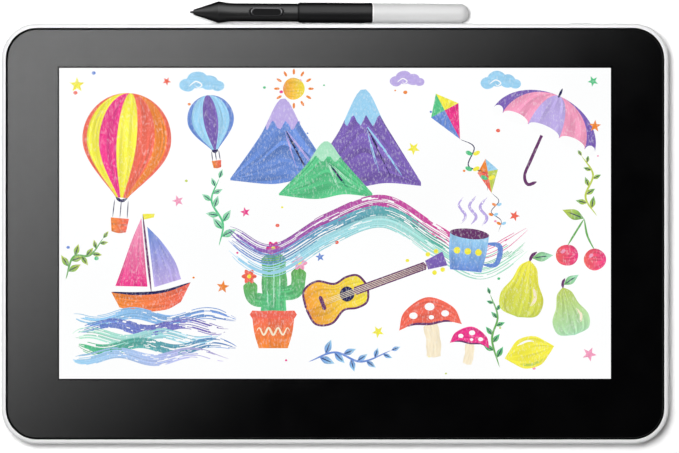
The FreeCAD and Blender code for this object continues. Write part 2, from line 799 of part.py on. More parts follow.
def make_mid_frame():
    body = new_body("mid_frame")
    outline = sketch_on(body, "XY_Plane", "frame_outline", "frame_under")
    round_rectangle(outline, *about_middle("frame_width", "frame_depth"), "frame_corner")
    pad(body, outline, "frame_plate")

    wall = sketch_on(body, "XY_Plane", "frame_wall_ring", "frame_top")
    round_rectangle(wall, *about_middle("frame_width", "frame_depth"), "frame_corner")
    inner_width, inner_depth = "frame_width - 2 * frame_wall", "frame_depth - 2 * frame_wall"
    round_rectangle(wall, *about_middle(inner_width, inner_depth), "frame_corner - frame_wall")
    pad(body, wall, "gasket_under - frame_top")

    locating = sketch_on(body, "XY_Plane", "locating_ring", "frame_top")
    outer_x = "locating_inner_x + locating_wall"
    rectangle(
        locating, f"0 - ({outer_x})", "locating_front - locating_wall", outer_x, "locating_rear + locating_wall"
    )
    rectangle(locating, "0 - locating_inner_x", "locating_front", "locating_inner_x", "locating_rear")
    pad(body, locating, "cell_under - frame_top")

    add_frame_ribs(body)
    add_frame_bosses(body)
    cut_frame_slots(body)
    return body


def add_frame_ribs(body):
    rib = sketch_on(body, "XY_Plane", "side_rib", "frame_top")
    for side in ("-", "+"):
        near = f"0 {side} (locating_inner_x + locating_wall / 2)"
        far = f"0 {side} (frame_width / 2 - frame_wall / 2)"
        left, right = (far, near) if side == "-" else (near, far)
        rectangle(
            rib,
            left,
            "0 - frame_depth / 2 + rib_margin + frame_wall",
            right,
            "0 - frame_depth / 2 + rib_margin + frame_wall + rib_thickness",
        )
    ribs = pad(body, rib, "rib_height")
    doc.recompute()
    row = body.newObject("PartDesign::LinearPattern", "side_ribs")
    row.Originals = [ribs]
    row.Direction = (rib, ["V_Axis"])
    row.setExpression("Length", bound("frame_depth - 2 * rib_margin - 2 * frame_wall - rib_thickness"))
    row.setExpression("Occurrences", bound("rib_count"))
    body.Tip = row


def add_frame_bosses(body):
    bosses = sketch_on(body, "XY_Plane", "frame_bosses", "frame_top - frame_plate / 2")
    for across, up in SCREW_PLACES:
        circle(bosses, across, up, "boss_diameter / 2")
    pad(body, bosses, "boss_top - frame_top + frame_plate / 2")
    threads = sketch_on(body, "XY_Plane", "frame_threads", "frame_under")
    for across, up in SCREW_PLACES:
        circle(threads, across, up, "screw_diameter / 2 + screw_clearance")
    pocket(body, threads, "screw_tip + screw_end_gap - frame_under", reverse=True)


def cut_frame_slots(body):
    edge = sketch_on(body, "XY_Plane", "port_notch", "frame_under")
    left = "port_x - port_width / 2 - notch_room"
    rectangle(edge, left, "strip_front", "lens_x + lens_foot / 2 + notch_room", "frame_depth / 2 + frame_gap")
    pocket(body, edge, "port_z + flange_height / 2 + notch_gap - frame_under", reverse=True)
    flex = sketch_on(body, "XY_Plane", "flex_notch", "frame_top")
    side = "(flex_width / 2 + slot_room)"
    rectangle(flex, f"0 - {side}", "locating_front - locating_wall", side, "locating_front")
    pocket(body, flex, "cell_under - frame_top", reverse=True)
    slots = sketch_on(body, "XY_Plane", "cable_slots", "frame_under")
    side = "(display_cable_width / 2 + slot_room)"
    rectangle(slots, f"0 - {side}", "driver_middle - slot_room", side, "driver_middle + slot_room")
    side = "(sensor_cable_width / 2 + slot_room)"
    drop = "board_front + sensor_drop"
    rectangle(
        slots,
        f"0 - sensor_cable_x - {side}",
        f"{drop} - slot_room",
        f"0 - sensor_cable_x + {side}",
        f"{drop} + slot_room",
    )
    pocket(body, slots, "frame_plate", reverse=True)


# Screen stack, from the front sheet down

def make_screen_stack():
    panel = about_middle("panel_width", "panel_depth")
    glass = plate("cover_glass", panel, "glass_under", "glass_thickness", "panel_corner")
    bevel = blend_edges(glass, "Chamfer", glass.Tip, at_height("tablet_height"), "glass_bevel_drop")
    bevel.ChamferType = "Two distances"
    bevel.setExpression("Size2", bound("glass_bevel"))

    mask = new_body("border_print")
    border = sketch_on(mask, "XY_Plane", "border_outline", "print_under")
    round_rectangle(
        border,
        *about_middle("panel_width - 2 * print_margin", "panel_depth - 2 * print_margin"),
        "panel_corner - print_margin",
    )
    rectangle(border, *about_middle("screen_width", "screen_height", "screen_offset"))
    pad(mask, border, "print_thickness")

    gasket = new_body("cover_gasket")
    ring = sketch_on(gasket, "XY_Plane", "gasket_ring", "gasket_under")
    for margin in ("gasket_margin", "(gasket_margin + gasket_width)"):
        outer = about_middle(f"panel_width - 2 * {margin}", f"panel_depth - 2 * {margin}")
        round_rectangle(ring, *outer, f"panel_corner - {margin}")
    pad(gasket, ring, "gasket_thickness")

    cell = about_middle("cell_width", "cell_height", "screen_offset")
    plate("lcd_cell", cell, "cell_under", "cell_thickness")
    sides = ("0 - layer_width / 2", "layer_width / 2")
    layer = (sides[0], "layer_front", sides[1], "layer_rear")
    plate("optical_sheets", layer, "guide_top", "sheets_thickness")
    guide = (sides[0], "layer_front + led_depth + layer_gap", sides[1], "layer_rear")
    plate("light_guide", guide, "reflector_top", "guide_thickness")
    plate("reflector_sheet", layer, "tray_top", "reflector_thickness")
    strip = (sides[0], "layer_front", sides[1], "layer_front + led_depth")
    plate("led_strip", strip, "reflector_top", "led_height")

    tray = plate("backlight_tray", cell, "sensor_top", "cell_under - sensor_top")
    inside = sketch_on(tray, "XY_Plane", "tray_inside", "cell_under")
    rectangle(inside, *about_middle("cell_width - 2 * tray_wall", "cell_height - 2 * tray_wall", "screen_offset"))
    pocket(tray, inside, "cell_under - tray_top")

    plate("sensor_board", cell, "shield_top", "sensor_thickness")
    plate("shield_plate", cell, "frame_top", "shield_thickness")


def make_display_links():
    """The screen's driver board, its flex, and the two flat cables that run down to the main board."""
    driver = ("0 - driver_width / 2", "driver_rear - driver_depth", "driver_width / 2", "driver_rear")
    plate("driver_board", driver, "frame_top", "driver_thickness")

    flex = new_body("lcd_flex")
    bend = sketch_on(flex, "YZ_Plane", "flex_bend", "0 - flex_width / 2")
    level, seat, fall = "cell_under + flex_rise", "frame_top + driver_thickness", "driver_rear - flex_lap"
    polygon(
        bend,
        ("cell_front", level),
        ("cell_front", f"{level} + flex_thickness"),
        (fall, f"{level} + flex_thickness"),
        (fall, seat),
        (f"{fall} + flex_thickness", seat),
        (f"{fall} + flex_thickness", level),
    )
    pad(flex, bend, "flex_width")
    flat_cable("display_cable", "0", "display_cable_width", "driver_middle", "frame_top", "0 - flex_thickness")
    flat_cable(
        "sensor_cable",
        "0 - sensor_cable_x",
        "sensor_cable_width",
        "board_front + sensor_drop",
        "frame_top",
        "flex_thickness",
    )


def flat_cable(label, middle_x, width, drop_y, top, turn):
    """A flat cable that falls through the frame's plate and runs under it to its plug on the board."""
    cable = new_body(label)
    run = sketch_on(cable, "YZ_Plane", label + "_run", f"{middle_x} - {width} / 2")
    plug_end = "board_front + plug_inset" if turn == "flex_thickness" else "board_front + plug_inset + plug_depth"
    polygon(
        run,
        (drop_y, top),
        (f"{drop_y} + ({turn})", top),
        (f"{drop_y} + ({turn})", "cable_under"),
        (plug_end, "cable_under"),
        (plug_end, "cable_top"),
        (drop_y, "cable_top"),
    )
    pad(cable, run, width)


# Main board, with its strip along the rear edge

def make_main_board():
    body = new_body("main_board")
    outline = sketch_on(body, "XY_Plane", "board_outline", "board_under")
    rear = "board_rear - board_margin"
    polygon(
        outline,
        ("0 - board_half_width", "board_front"),
        ("board_half_width", "board_front"),
        ("board_half_width", "strip_front"),
        ("strip_end", "strip_front"),
        ("strip_end", "board_rear"),
        ("board_half_width - strip_root", "board_rear"),
        ("board_half_width - strip_root", rear),
        ("0 - board_half_width", rear),
    )
    pad(body, outline, "board_thickness")
    holes = sketch_on(body, "XY_Plane", "board_holes", "board_under")
    for across, up in STANDOFF_PLACES:
        circle(holes, across, up, "screw_diameter / 2 + screw_hole_gap")
    pocket(body, holes, "board_thickness", reverse=True)

    chips = new_body("board_chips")
    tops = sketch_on(chips, "XY_Plane", "chip_outlines", "board_top")
    chip_row = (("0", "main_chip"), ("0 - power_chip_x", "power_chip"), ("memory_chip_x", "memory_chip"))
    for middle, side in chip_row:
        middle_y = "board_front + chip_row"
        rectangle(
            tops,
            f"{middle} - {side} / 2",
            f"{middle_y} - {side} / 2",
            f"{middle} + {side} / 2",
            f"{middle_y} + {side} / 2",
        )
    pad(chips, tops, "chip_height")
    plugs = sketch_on(chips, "XY_Plane", "plug_outlines", "board_top")
    near = "board_front + plug_inset"
    for middle, width in (("0", "display_cable_width"), ("0 - sensor_cable_x", "sensor_cable_width")):
        half = f"({width} / 2 + slot_room)"
        rectangle(plugs, f"{middle} - {half}", near, f"{middle} + {half}", f"{near} + plug_depth")
    pad(chips, plugs, "cable_under - board_top")


def make_rear_edge_parts():
    port = new_body("usb_c_port")
    shell = sketch_on(port, "XZ_Plane", "port_shell", "0 - port_face")
    stadium(shell, "port_x", "port_z", "port_width + 2 * port_shell", "port_height + 2 * port_shell")
    pad(port, shell, "port_length")
    mouth = sketch_on(port, "XZ_Plane", "port_mouth", "0 - port_face")
    stadium(mouth, "port_x", "port_z", "port_width", "port_height")
    pocket(port, mouth, "port_length - port_back", reverse=True)
    tongue = sketch_on(port, "XZ_Plane", "port_tongue", "0 - port_face + port_length - port_back")
    rectangle(
        tongue,
        "port_x - tongue_width / 2",
        "port_z - tongue_thickness / 2",
        "port_x + tongue_width / 2",
        "port_z + tongue_thickness / 2",
    )
    pad(port, tongue, "port_length - 2 * port_back", reverse=True)

    button = new_body("power_button")
    cap = sketch_on(button, "XZ_Plane", "button_cap", "0 - button_face")
    stadium(cap, "button_x", "port_z", "button_length", "button_height")
    face = pad(button, cap, "button_face - button_inside")
    outer = value("button_face") - 1e-4
    blend_edges(button, "Chamfer", face, lambda edge: edge.BoundBox.YMin > outer, "button_edge")
    flange = sketch_on(button, "XZ_Plane", "button_flange_outline", "0 - button_inside - button_flange")
    stadium(flange, "button_x", "port_z", "flange_length", "flange_height")
    pad(button, flange, "button_flange")

    switch = new_body("power_switch")
    case = sketch_on(switch, "XY_Plane", "switch_case", "board_top")
    half, rear = "power_switch_width / 2", "power_switch_rear"
    rectangle(case, f"button_x - {half}", f"{rear} - power_switch_depth", f"button_x + {half}", rear)
    pad(switch, case, "2 * (port_z - board_top)")
    plunger = sketch_on(switch, "XZ_Plane", "switch_plunger", "0 - plunger_face")
    circle(plunger, "button_x", "port_z", "plunger_diameter / 2")
    pad(switch, plunger, "plunger_face - power_switch_rear + power_switch_depth / 2")

    lens = new_body("status_lens")
    rod = sketch_on(lens, "XZ_Plane", "lens_rod", "0 - tablet_depth / 2")
    circle(rod, "lens_x", "port_z", "lens_diameter / 2")
    pad(lens, rod, "tablet_depth / 2 - board_rear + lens_foot_setback")
    foot = sketch_on(lens, "XY_Plane", "lens_foot_outline", "board_top")
    rear = "board_rear - lens_foot_setback"
    rectangle(foot, "lens_x - lens_foot / 2", f"{rear} - lens_foot", "lens_x + lens_foot / 2", rear)
    pad(lens, foot, "2 * (port_z - board_top)")


# Screws and feet

def make_screws():
    screws = new_body("housing_screws")
    under = "foot_height + foot_seat + screw_end_gap / 2"
    heads = sketch_on(screws, "XY_Plane", "housing_screw_heads", under)
    shanks = sketch_on(screws, "XY_Plane", "housing_screw_shanks", under)
    for across, up in SCREW_PLACES:
        circle(heads, across, up, "screw_head / 2")
        circle(shanks, across, up, "screw_diameter / 2")
    pad(screws, heads, "screw_head_height")
    pad(screws, shanks, f"screw_tip - ({under})")

    small = new_body("board_screws")
    heads = sketch_on(small, "XY_Plane", "board_screw_heads", "board_top")
    shanks = sketch_on(small, "XY_Plane", "board_screw_shanks", "board_top")
    for across, up in STANDOFF_PLACES:
        circle(heads, across, up, "screw_head / 2")
        circle(shanks, across, up, "screw_diameter / 2")
    pad(small, heads, "screw_head_height")
    pad(small, shanks, "board_thickness + board_height - screw_end_gap", reverse=True)


def make_feet():
    for side, sign in (("left", "0 -"), ("right", "0 +")):
        front = new_body(f"{side}_front_foot")
        strip = sketch_on(front, "XY_Plane", f"{side}_front_foot_outline")
        length, depth = "front_foot_length - 2 * foot_clearance", "front_foot_depth - 2 * foot_clearance"
        stadium(strip, f"{sign} front_foot_x", "0 - foot_y", length, depth)
        pad(front, strip, "foot_height + foot_seat")
        blend_edges(front, "Chamfer", front.Tip, at_height("0"), "foot_bevel")
        rear = new_body(f"{side}_rear_foot")
        disc = sketch_on(rear, "XY_Plane", f"{side}_rear_foot_outline")
        circle(disc, f"{sign} rear_foot_x", "foot_y", "rear_foot_diameter / 2 - foot_clearance")
        pad(rear, disc, "foot_height + foot_seat")
        blend_edges(rear, "Chamfer", rear.Tip, at_height("0"), "foot_bevel")


# Fold-out legs: a plate with a barrel about the hinge pin, a recess inside and a rubber end

def make_leg(side, sign):
    leg = new_body(f"{side}_leg")
    outline = sketch_on(leg, "YZ_Plane", f"{side}_leg_profile", f"{sign} leg_x - leg_width / 2")
    end = "leg_front + leg_pad_length"
    rectangle(outline, end, "foot_height", "hinge_y", "leg_top")
    pad(leg, outline, "leg_width")
    barrel = sketch_on(leg, "YZ_Plane", f"{side}_leg_barrel", f"{sign} leg_x - leg_width / 2")
    circle(barrel, "hinge_y", "hinge_z", "leg_thickness / 2")
    pad(leg, barrel, "leg_width")
    tongue = sketch_on(leg, "XZ_Plane", f"{side}_leg_tongue", f"0 - ({end})")
    half_wide = "leg_width / 2 - leg_pad_inset"
    rectangle(
        tongue,
        f"{sign} leg_x - ({half_wide})",
        "hinge_z - leg_tongue_thickness / 2",
        f"{sign} leg_x + ({half_wide})",
        "hinge_z + leg_tongue_thickness / 2",
    )
    pad(leg, tongue, "leg_tongue")

    recess = sketch_on(leg, "XY_Plane", f"{side}_leg_recess", "leg_top")
    left, right = f"{sign} leg_x - leg_recess_width / 2", f"{sign} leg_x + leg_recess_width / 2"
    round_rectangle(recess, left, "recess_front", right, "recess_rear", "leg_recess_corner")
    pocket(leg, recess, "leg_thickness - leg_skin")
    bore = sketch_on(leg, "YZ_Plane", f"{side}_leg_bore", f"{sign} leg_x - leg_width / 2")
    circle(bore, "hinge_y", "hinge_z", "hinge_pin_diameter / 2 + hinge_clearance")
    pocket(leg, bore, "leg_width", reverse=True)

    rubber = new_body(f"{side}_leg_pad")
    strip = sketch_on(rubber, "XY_Plane", f"{side}_pad_outline", "foot_height")
    rectangle(strip, f"{sign} leg_x - leg_width / 2", "leg_front", f"{sign} leg_x + leg_width / 2", end)
    block = pad(rubber, strip, "leg_thickness")
    front = value("leg_front")

    def upright_front(edge):
        box = edge.BoundBox
        return box.YMax < front + 1e-4 and box.ZMax - box.ZMin > 1

    corners = blend_edges(rubber, "Fillet", block, upright_front, "leg_pad_corner")

    curved = front + value("leg_pad_corner") + 1e-4
    blend_edges(rubber, "Chamfer", corners, lambda edge: edge.BoundBox.YMax < curved, "leg_pad_nose")
    slot = sketch_on(rubber, "XZ_Plane", f"{side}_pad_slot", f"0 - ({end})")
    rectangle(
        slot,
        f"{sign} leg_x - ({half_wide}) - tongue_clearance",
        "hinge_z - leg_tongue_thickness / 2 - tongue_clearance",
        f"{sign} leg_x + ({half_wide}) + tongue_clearance",
        "hinge_z + leg_tongue_thickness / 2 + tongue_clearance",
    )
    pocket(rubber, slot, "leg_tongue + tongue_clearance", reverse=True)

    pin = new_body(f"{side}_hinge_pin")
    reach = "pocket_half + hinge_pin_grip"
    rod = sketch_on(pin, "YZ_Plane", f"{side}_pin_section", f"{sign} leg_x - ({reach})")
    circle(rod, "hinge_y", "hinge_z", "hinge_pin_diameter / 2")
    pad(pin, rod, f"2 * ({reach})")


# Nib store: a holder fixed to the left pocket's roof, with three spare nibs and the nib puller

def make_nib_store():
    holder = new_body("nib_holder")
    block = sketch_on(holder, "XY_Plane", "holder_block", "store_under")
    box = ("0 - leg_x - store_half", "store_front", "0 - leg_x + store_half", "store_rear")
    round_rectangle(block, *box, "store_corner")
    pad(holder, block, "store_thickness")
    grooves = sketch_on(holder, "XY_Plane", "nib_grooves", "store_under")
    for count in range(3):
        row_y = f"nib_row_y + {count} * spare_nib_pitch"
        rectangle(
            grooves,
            "0 - leg_x - spare_nib_length / 2 - nib_end_gap",
            f"{row_y} - nib_diameter / 2 - store_slack",
            "0 - leg_x + spare_nib_length / 2 + nib_end_gap",
            f"{row_y} + nib_diameter / 2 + store_slack",
        )
    pocket(holder, grooves, "nib_diameter", reverse=True)
    well = sketch_on(holder, "XY_Plane", "puller_well", "store_under")
    circle(well, "0 - leg_x", "puller_y", "puller_diameter / 2 + store_slack")
    pocket(holder, well, "puller_thickness", reverse=True)

    spares = new_body("spare_nibs")
    for count in range(3):
        row_y = f"nib_row_y + {count} * spare_nib_pitch"
        section = sketch_on(spares, "YZ_Plane", f"spare_nib_{count}", "0 - leg_x - spare_nib_length / 2")
        circle(section, row_y, "nib_groove_z", "nib_diameter / 2")
        pad(spares, section, "spare_nib_length")

    puller = new_body("nib_puller")
    ring = sketch_on(puller, "XY_Plane", "puller_ring", "store_under")
    circle(ring, "0 - leg_x", "puller_y", "puller_diameter / 2")
    circle(ring, "0 - leg_x", "puller_y", "puller_hole / 2")
    pad(puller, ring, "puller_thickness")


# Pen, drawn with its axis along X

def turned(label, corners, arcs=None, home="pen"):
    """A turned piece: its half outline, as distance along the axis and radius."""
    body = new_body(label, home)
    outline = sketch_on(body, "XY_Plane", label + "_outline")
    profile(outline, corners, arcs or {})
    solid_step(body, "Revolution", outline)
    return body


def pill_prism(label, across, length, width, under, height):
    """An upright pill-shaped block over the pen's axis, used as a cutting or crossing tool."""
    body = new_body(label, home=None)
    outline = sketch_on(body, "XY_Plane", label + "_outline", under)
    stadium(outline, across, "0", length, width)
    pad(body, outline, height)
    return body


def axis_cylinder(label, radius):
    """A plain cylinder along the pen's axis, as long as the grip."""
    rod = doc.addObject("Part::Cylinder", label)
    rod.setExpression("Radius", bound(radius))
    rod.setExpression("Height", bound("grip_end"))
    rod.Placement = FreeCAD.Placement(Vector(0, 0, 0), FreeCAD.Rotation(Vector(0, 1, 0), 90))
    return rod


def join(kind, label, base, tool, home=None):
    """A Part boolean of two objects of the document."""
    result = doc.addObject(f"Part::{kind}", label)
    result.Label = label
    result.Base = base
    result.Tool = tool
    if home:
        settle(result, home)
    return result


def make_grip_shell():
    spigot = "barrel_bore - spigot_clearance"
    inner_cone = "ferrite_from - ferrite_gap"
    corners = [
        ("nose_at", "nib_bore"),
        ("nose_at", "nose_radius"),
        ("crest_start", "crest_start_up"),
        ("crest_end", "crest_end_up"),
        ("waist_at", "waist_radius"),
        ("grip_end", "waist_radius"),
        ("grip_end", spigot),
        ("grip_end + spigot_length", spigot),
        ("grip_end + spigot_length", "bore_radius"),
        ("bore_start", "bore_radius"),
        (inner_cone, "ferrite_diameter / 2 + ferrite_room"),
        (inner_cone, "nib_bore"),
    ]
    arcs = {2: ("flare_at", "crest_up", True), 3: ("waist_at", "waist_radius + waist_round", False)}
    blank = turned("grip_blank", corners, arcs, home=None)
    land = pill_prism("switch_land", "switch_at", "ring_length", "ring_width", "0", "flare_radius")
    core = axis_cylinder("land_core", "waist_radius - ring_depth")
    land_cut = join("Cut", "land_cut", land, core)
    stepped = join("Cut", "stepped_grip", blank, land_cut)
    length, width = "switch_slot_length", "switch_slot_width"
    slot = pill_prism("switch_slot", "switch_at", length, width, "0", "flare_radius")
    join("Cut", "pen_grip_shell", stepped, slot, home="pen")


def make_side_switch():
    stem = pill_prism("switch_stem", "switch_at", "switch_length", "switch_width", "switch_under", "flare_radius")
    crowned = join("Common", "crowned_stem", stem, axis_cylinder("switch_crown", "switch_top"))
    inner_length, inner_width = "switch_length - 2 * switch_rim", "switch_width - 2 * switch_rim"
    dish = pill_prism("switch_hollow", "switch_at", inner_length, inner_width, "dish_floor", "flare_radius")
    dished = join("Cut", "dished_stem", crowned, dish)
    long, wide = "switch_slot_length + 2 * switch_end_lap", "switch_slot_width + 2 * switch_side_lap"
    block = pill_prism("flange_block", "switch_at", long, wide, "switch_under", "switch_flange")
    arch = axis_cylinder("flange_arch", "bore_radius - switch_flange_gap")
    flange = join("Common", "arched_flange", block, arch)
    join("Fuse", "pen_side_switch", dished, flange, home="pen")


def make_pen_rear():
    turned(
        "pen_rear_shell",
        [
            ("grip_end + seam_gap", "barrel_bore"),
            ("grip_end + seam_gap", "barrel_radius - shoulder_drop"),
            ("grip_end + seam_gap + shoulder_length", "barrel_radius"),
            ("barrel_end - seam_bevel", "barrel_radius"),
            ("barrel_end", "barrel_radius - seam_bevel"),
            ("barrel_end", "cap_bore - spigot_clearance"),
            ("barrel_end + spigot_length", "cap_bore - spigot_clearance"),
            ("barrel_end + spigot_length", "bore_radius"),
            ("barrel_end - spigot_stop", "bore_radius"),
            ("barrel_end - spigot_stop", "barrel_bore"),
        ],
    )
    turned(
        "pen_end_cap",
        [
            ("barrel_end + seam_gap", "cap_bore"),
            ("barrel_end + seam_gap", "cap_radius"),
            ("dome_from", "cap_radius"),
            ("pen_length", "0"),
            ("pen_length - cap_shell", "0"),
            ("dome_from", "cap_bore"),
        ],
        {2: ("dome_from", "0", True), 4: ("dome_from", "0", False)},
    )


def make_pen_core():
    """What the pen holds: coil on its ferrite tube, pressure sensor, and a board in an open carrier."""
    turned(
        "pen_ferrite",
        [
            ("ferrite_from", "nib_bore"),
            ("ferrite_from", "ferrite_diameter / 2"),
            ("ferrite_back", "ferrite_diameter / 2"),
            ("ferrite_back", "nib_bore"),
        ],
    )
    reach = "coil_from + coil_length"
    turned(
        "pen_coil",
        [
            ("coil_from", "ferrite_diameter / 2"),
            ("coil_from", "ferrite_diameter / 2 + coil_thickness"),
            (reach, "ferrite_diameter / 2 + coil_thickness"),
            (reach, "ferrite_diameter / 2"),
        ],
    )
    turned(
        "pen_pressure_sensor",
        [
            ("sensor_from", "0"),
            ("sensor_from", "sensor_diameter / 2"),
            ("sensor_back", "sensor_diameter / 2"),
            ("sensor_back", "0"),
        ],
    )
    inside = "(carrier_radius - carrier_wall)"
    carrier = turned(
        "pen_carrier",
        [
            ("ferrite_back", "nib_bore"),
            ("ferrite_back", "carrier_radius"),
            ("carrier_end", "carrier_radius"),
            ("carrier_end", inside),
            ("sensor_back", inside),
            ("sensor_back", "sensor_diameter / 2"),
            ("sensor_from", "sensor_diameter / 2"),
            ("sensor_from", "nib_bore"),
        ],
    )
    open_top = sketch_on(carrier, "XY_Plane", "carrier_open_top", "0 - pen_board_drop")
    rectangle(open_top, "pen_board_from", "0 - bore_radius", "carrier_end - carrier_ring", "bore_radius")
    pocket(carrier, open_top, "2 * carrier_radius", reverse=True)

    board = new_body("pen_circuit_board", home="pen")
    outline = sketch_on(board, "XY_Plane", "pen_board_outline", "0 - pen_board_drop")
    start, stop = "pen_board_from + pen_board_gap", "carrier_end - carrier_ring - pen_board_gap"
    rectangle(outline, start, f"0 - {inside}", stop, inside)
    pad(board, outline, "pen_board_thickness")

    click = new_body("pen_switch_contact", home="pen")
    case = sketch_on(click, "XY_Plane", "contact_case", "pen_board_top")
    long, wide = "contact_length / 2", "contact_width / 2"
    rectangle(case, f"switch_at - {long}", f"0 - {wide}", f"switch_at + {long}", wide)
    pad(click, case, "switch_under - switch_travel - contact_gap - pen_board_top")


def make_nib():
    turned(
        "pen_nib",
        [
            ("0", "0"),
            ("nib_tip_radius", "nib_tip_radius"),
            ("nib_point", "nib_diameter / 2"),
            ("nib_length", "nib_diameter / 2"),
            ("nib_length", "0"),
        ],
        {0: ("nib_tip_radius", "0", True)},
    )


make_rear_housing()
make_mid_frame()
make_screen_stack()
make_display_links()
make_main_board()
make_rear_edge_parts()
make_screws()
make_feet()
make_leg("left", "0 -")
make_leg("right", "0 +")
make_nib_store()
make_grip_shell()
make_side_switch()
make_pen_rear()
make_pen_core()
make_nib()
doc.recompute()

PIECES = [
    "rear_housing",
    "mid_frame",
    "cover_glass",
    "border_print",
    "cover_gasket",
    "lcd_cell",
    "optical_sheets",
    "light_guide",
    "reflector_sheet",
    "led_strip",
    "backlight_tray",
    "sensor_board",
    "shield_plate",
    "driver_board",
    "lcd_flex",
    "display_cable",
    "sensor_cable",
    "main_board",
    "board_chips",
    "usb_c_port",
    "power_button",
    "power_switch",
    "status_lens",
    "housing_screws",
    "board_screws",
    "left_front_foot",
    "right_front_foot",
    "left_rear_foot",
    "right_rear_foot",
    "left_leg",
    "left_leg_pad",
    "left_hinge_pin",
    "right_leg",
    "right_leg_pad",
    "right_hinge_pin",
    "nib_holder",
    "spare_nibs",
    "nib_puller",
    "pen_grip_shell",
    "pen_side_switch",
    "pen_rear_shell",
    "pen_end_cap",
    "pen_ferrite",
    "pen_coil",
    "pen_pressure_sensor",
    "pen_carrier",
    "pen_circuit_board",
    "pen_switch_contact",
    "pen_nib",
]

# Every object is checked before anything is written
for item in doc.Objects:
    if "Invalid" in item.State or "Error" in item.State:
        raise RuntimeError(f"{item.Label} failed: {item.State}")
os.makedirs("parts", exist_ok=True)
for label in PIECES:
    piece = doc.getObjectsByLabel(label)[0]
    if piece.Shape.isNull() or not piece.Shape.isValid():
        raise RuntimeError(f"{label} has no valid shape")
for label in PIECES:
    piece = doc.getObjectsByLabel(label)[0]
    piece.Shape.exportStep(f"parts/{label}.step")
    print(f"{label}: {len(piece.Shape.Solids)} solids, {piece.Shape.Volume:.1f} mm3")
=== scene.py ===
# %% [markdown]
# # A pen display and its pen
#
# The object is a drawing tablet with a lit screen, and a cordless pen that lies behind it. Its solids
# come from a CAD model, which is loaded first and is never moved. This lesson gives each solid a finish,
# paints the picture that the screen shows, and sets up the floor, the lamps and the camera. All lengths
# are in metres. The tablet lies flat, its long side along X, its face up, and the pen lies behind it.

# %% Load the CAD frame
import json
import math

import bmesh
import bpy
import numpy as np
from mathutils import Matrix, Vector


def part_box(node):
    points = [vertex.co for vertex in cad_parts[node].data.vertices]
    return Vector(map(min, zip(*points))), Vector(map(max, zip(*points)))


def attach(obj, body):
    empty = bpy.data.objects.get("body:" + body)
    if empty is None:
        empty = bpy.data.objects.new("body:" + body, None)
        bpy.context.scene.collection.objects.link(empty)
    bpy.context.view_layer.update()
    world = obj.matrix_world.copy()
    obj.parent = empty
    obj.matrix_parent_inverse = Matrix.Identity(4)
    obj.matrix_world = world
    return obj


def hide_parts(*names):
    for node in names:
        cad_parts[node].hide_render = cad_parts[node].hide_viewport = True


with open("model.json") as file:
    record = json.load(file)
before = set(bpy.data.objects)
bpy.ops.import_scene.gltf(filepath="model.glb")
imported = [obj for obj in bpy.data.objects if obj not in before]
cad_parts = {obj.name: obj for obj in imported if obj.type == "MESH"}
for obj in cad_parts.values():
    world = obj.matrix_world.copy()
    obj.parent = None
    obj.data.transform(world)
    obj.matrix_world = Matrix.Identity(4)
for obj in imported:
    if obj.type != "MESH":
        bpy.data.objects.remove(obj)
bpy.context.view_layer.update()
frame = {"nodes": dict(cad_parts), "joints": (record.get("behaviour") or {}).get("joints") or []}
glass_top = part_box("cover_glass")[1][2]
panel_low, panel_high = (np.array(corner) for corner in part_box("rear_housing"))
tablet_centre = (panel_low + panel_high) / 2
print("solids:", len(frame["nodes"]), "tablet centre:", tablet_centre.round(4))

# %% [markdown]
# ## New objects
#
# Whatever this lesson adds is put into the scene at the origin, unturned. A new piece gets its place from
# the corners of its mesh, because a pattern on it would slide if the object itself were moved.

# %% New objects
def put(name, data):
    """A new object in the scene."""
    thing = bpy.data.objects.new(name, data)
    bpy.context.collection.objects.link(thing)
    return thing


def new_piece(name, points, faces, smooth=True):
    """A new mesh object, from rows of x, y, z and rows of corner numbers."""
    mesh = bpy.data.meshes.new(name)
    mesh.from_pydata(points.tolist(), [], faces.tolist(), shade_flat=not smooth)
    return put(name, mesh)


print("ready for new objects")

# %% [markdown]
# ## The camera
#
# The picture was taken from straight above, from far enough away that the tablet's sides barely show.
# A lens is found from one measured scale: how many pixels of the picture one metre of the glass covers.
# The camera stands over the middle of the picture, a few millimetres from the middle of the tablet.

# %% Camera
PICTURE_WIDTH = 679
PIXELS_PER_METRE = 1871.6
CAMERA_HEIGHT = 1.5
PICTURE_OFF_CENTRE = (4.5, 7.2)
SENSOR = 36.0

camera_data = bpy.data.cameras.new("overhead_camera")
camera_data.sensor_width = SENSOR
camera_data.lens = SENSOR * PIXELS_PER_METRE * (CAMERA_HEIGHT - glass_top) / PICTURE_WIDTH
camera = put("overhead_camera", camera_data)
across, up = (pixels / PIXELS_PER_METRE for pixels in PICTURE_OFF_CENTRE)
camera.location = (tablet_centre[0] + across, tablet_centre[1] + up, CAMERA_HEIGHT)
bpy.context.scene.camera = camera
bpy.context.scene.view_settings.view_transform = "Standard"
print("lens:", round(camera_data.lens, 1), "mm at", tuple(round(v, 4) for v in camera.location))

# %% [markdown]
# ## Building with nodes
#
# Lamps, the room and every finish are small trees of nodes. A few helpers keep the trees readable. The
# first two feed a node's sockets, given by name: a plain value is set, and another node's output is
# linked. The others work out a number or a colour between two.

# %% Node helpers
WHITE = (1.0, 1.0, 1.0)


def feed(node, **sockets):
    """Values or outputs into a node's sockets. In a socket's name, _ stands for a space."""
    for name, value in sockets.items():
        key = int(name[1:]) if name[1:].isdigit() else name.replace("_", " ")
        if isinstance(value, bpy.types.NodeSocket):
            node.id_data.links.new(value, node.inputs[key])
        else:
            node.inputs[key].default_value = value


def add(tree, kind, settings=None, **sockets):
    """One node. settings are its own properties."""
    node = tree.nodes.new("ShaderNode" + kind)
    for name, value in (settings or {}).items():
        setattr(node, name, value)
    feed(node, **sockets)
    return node


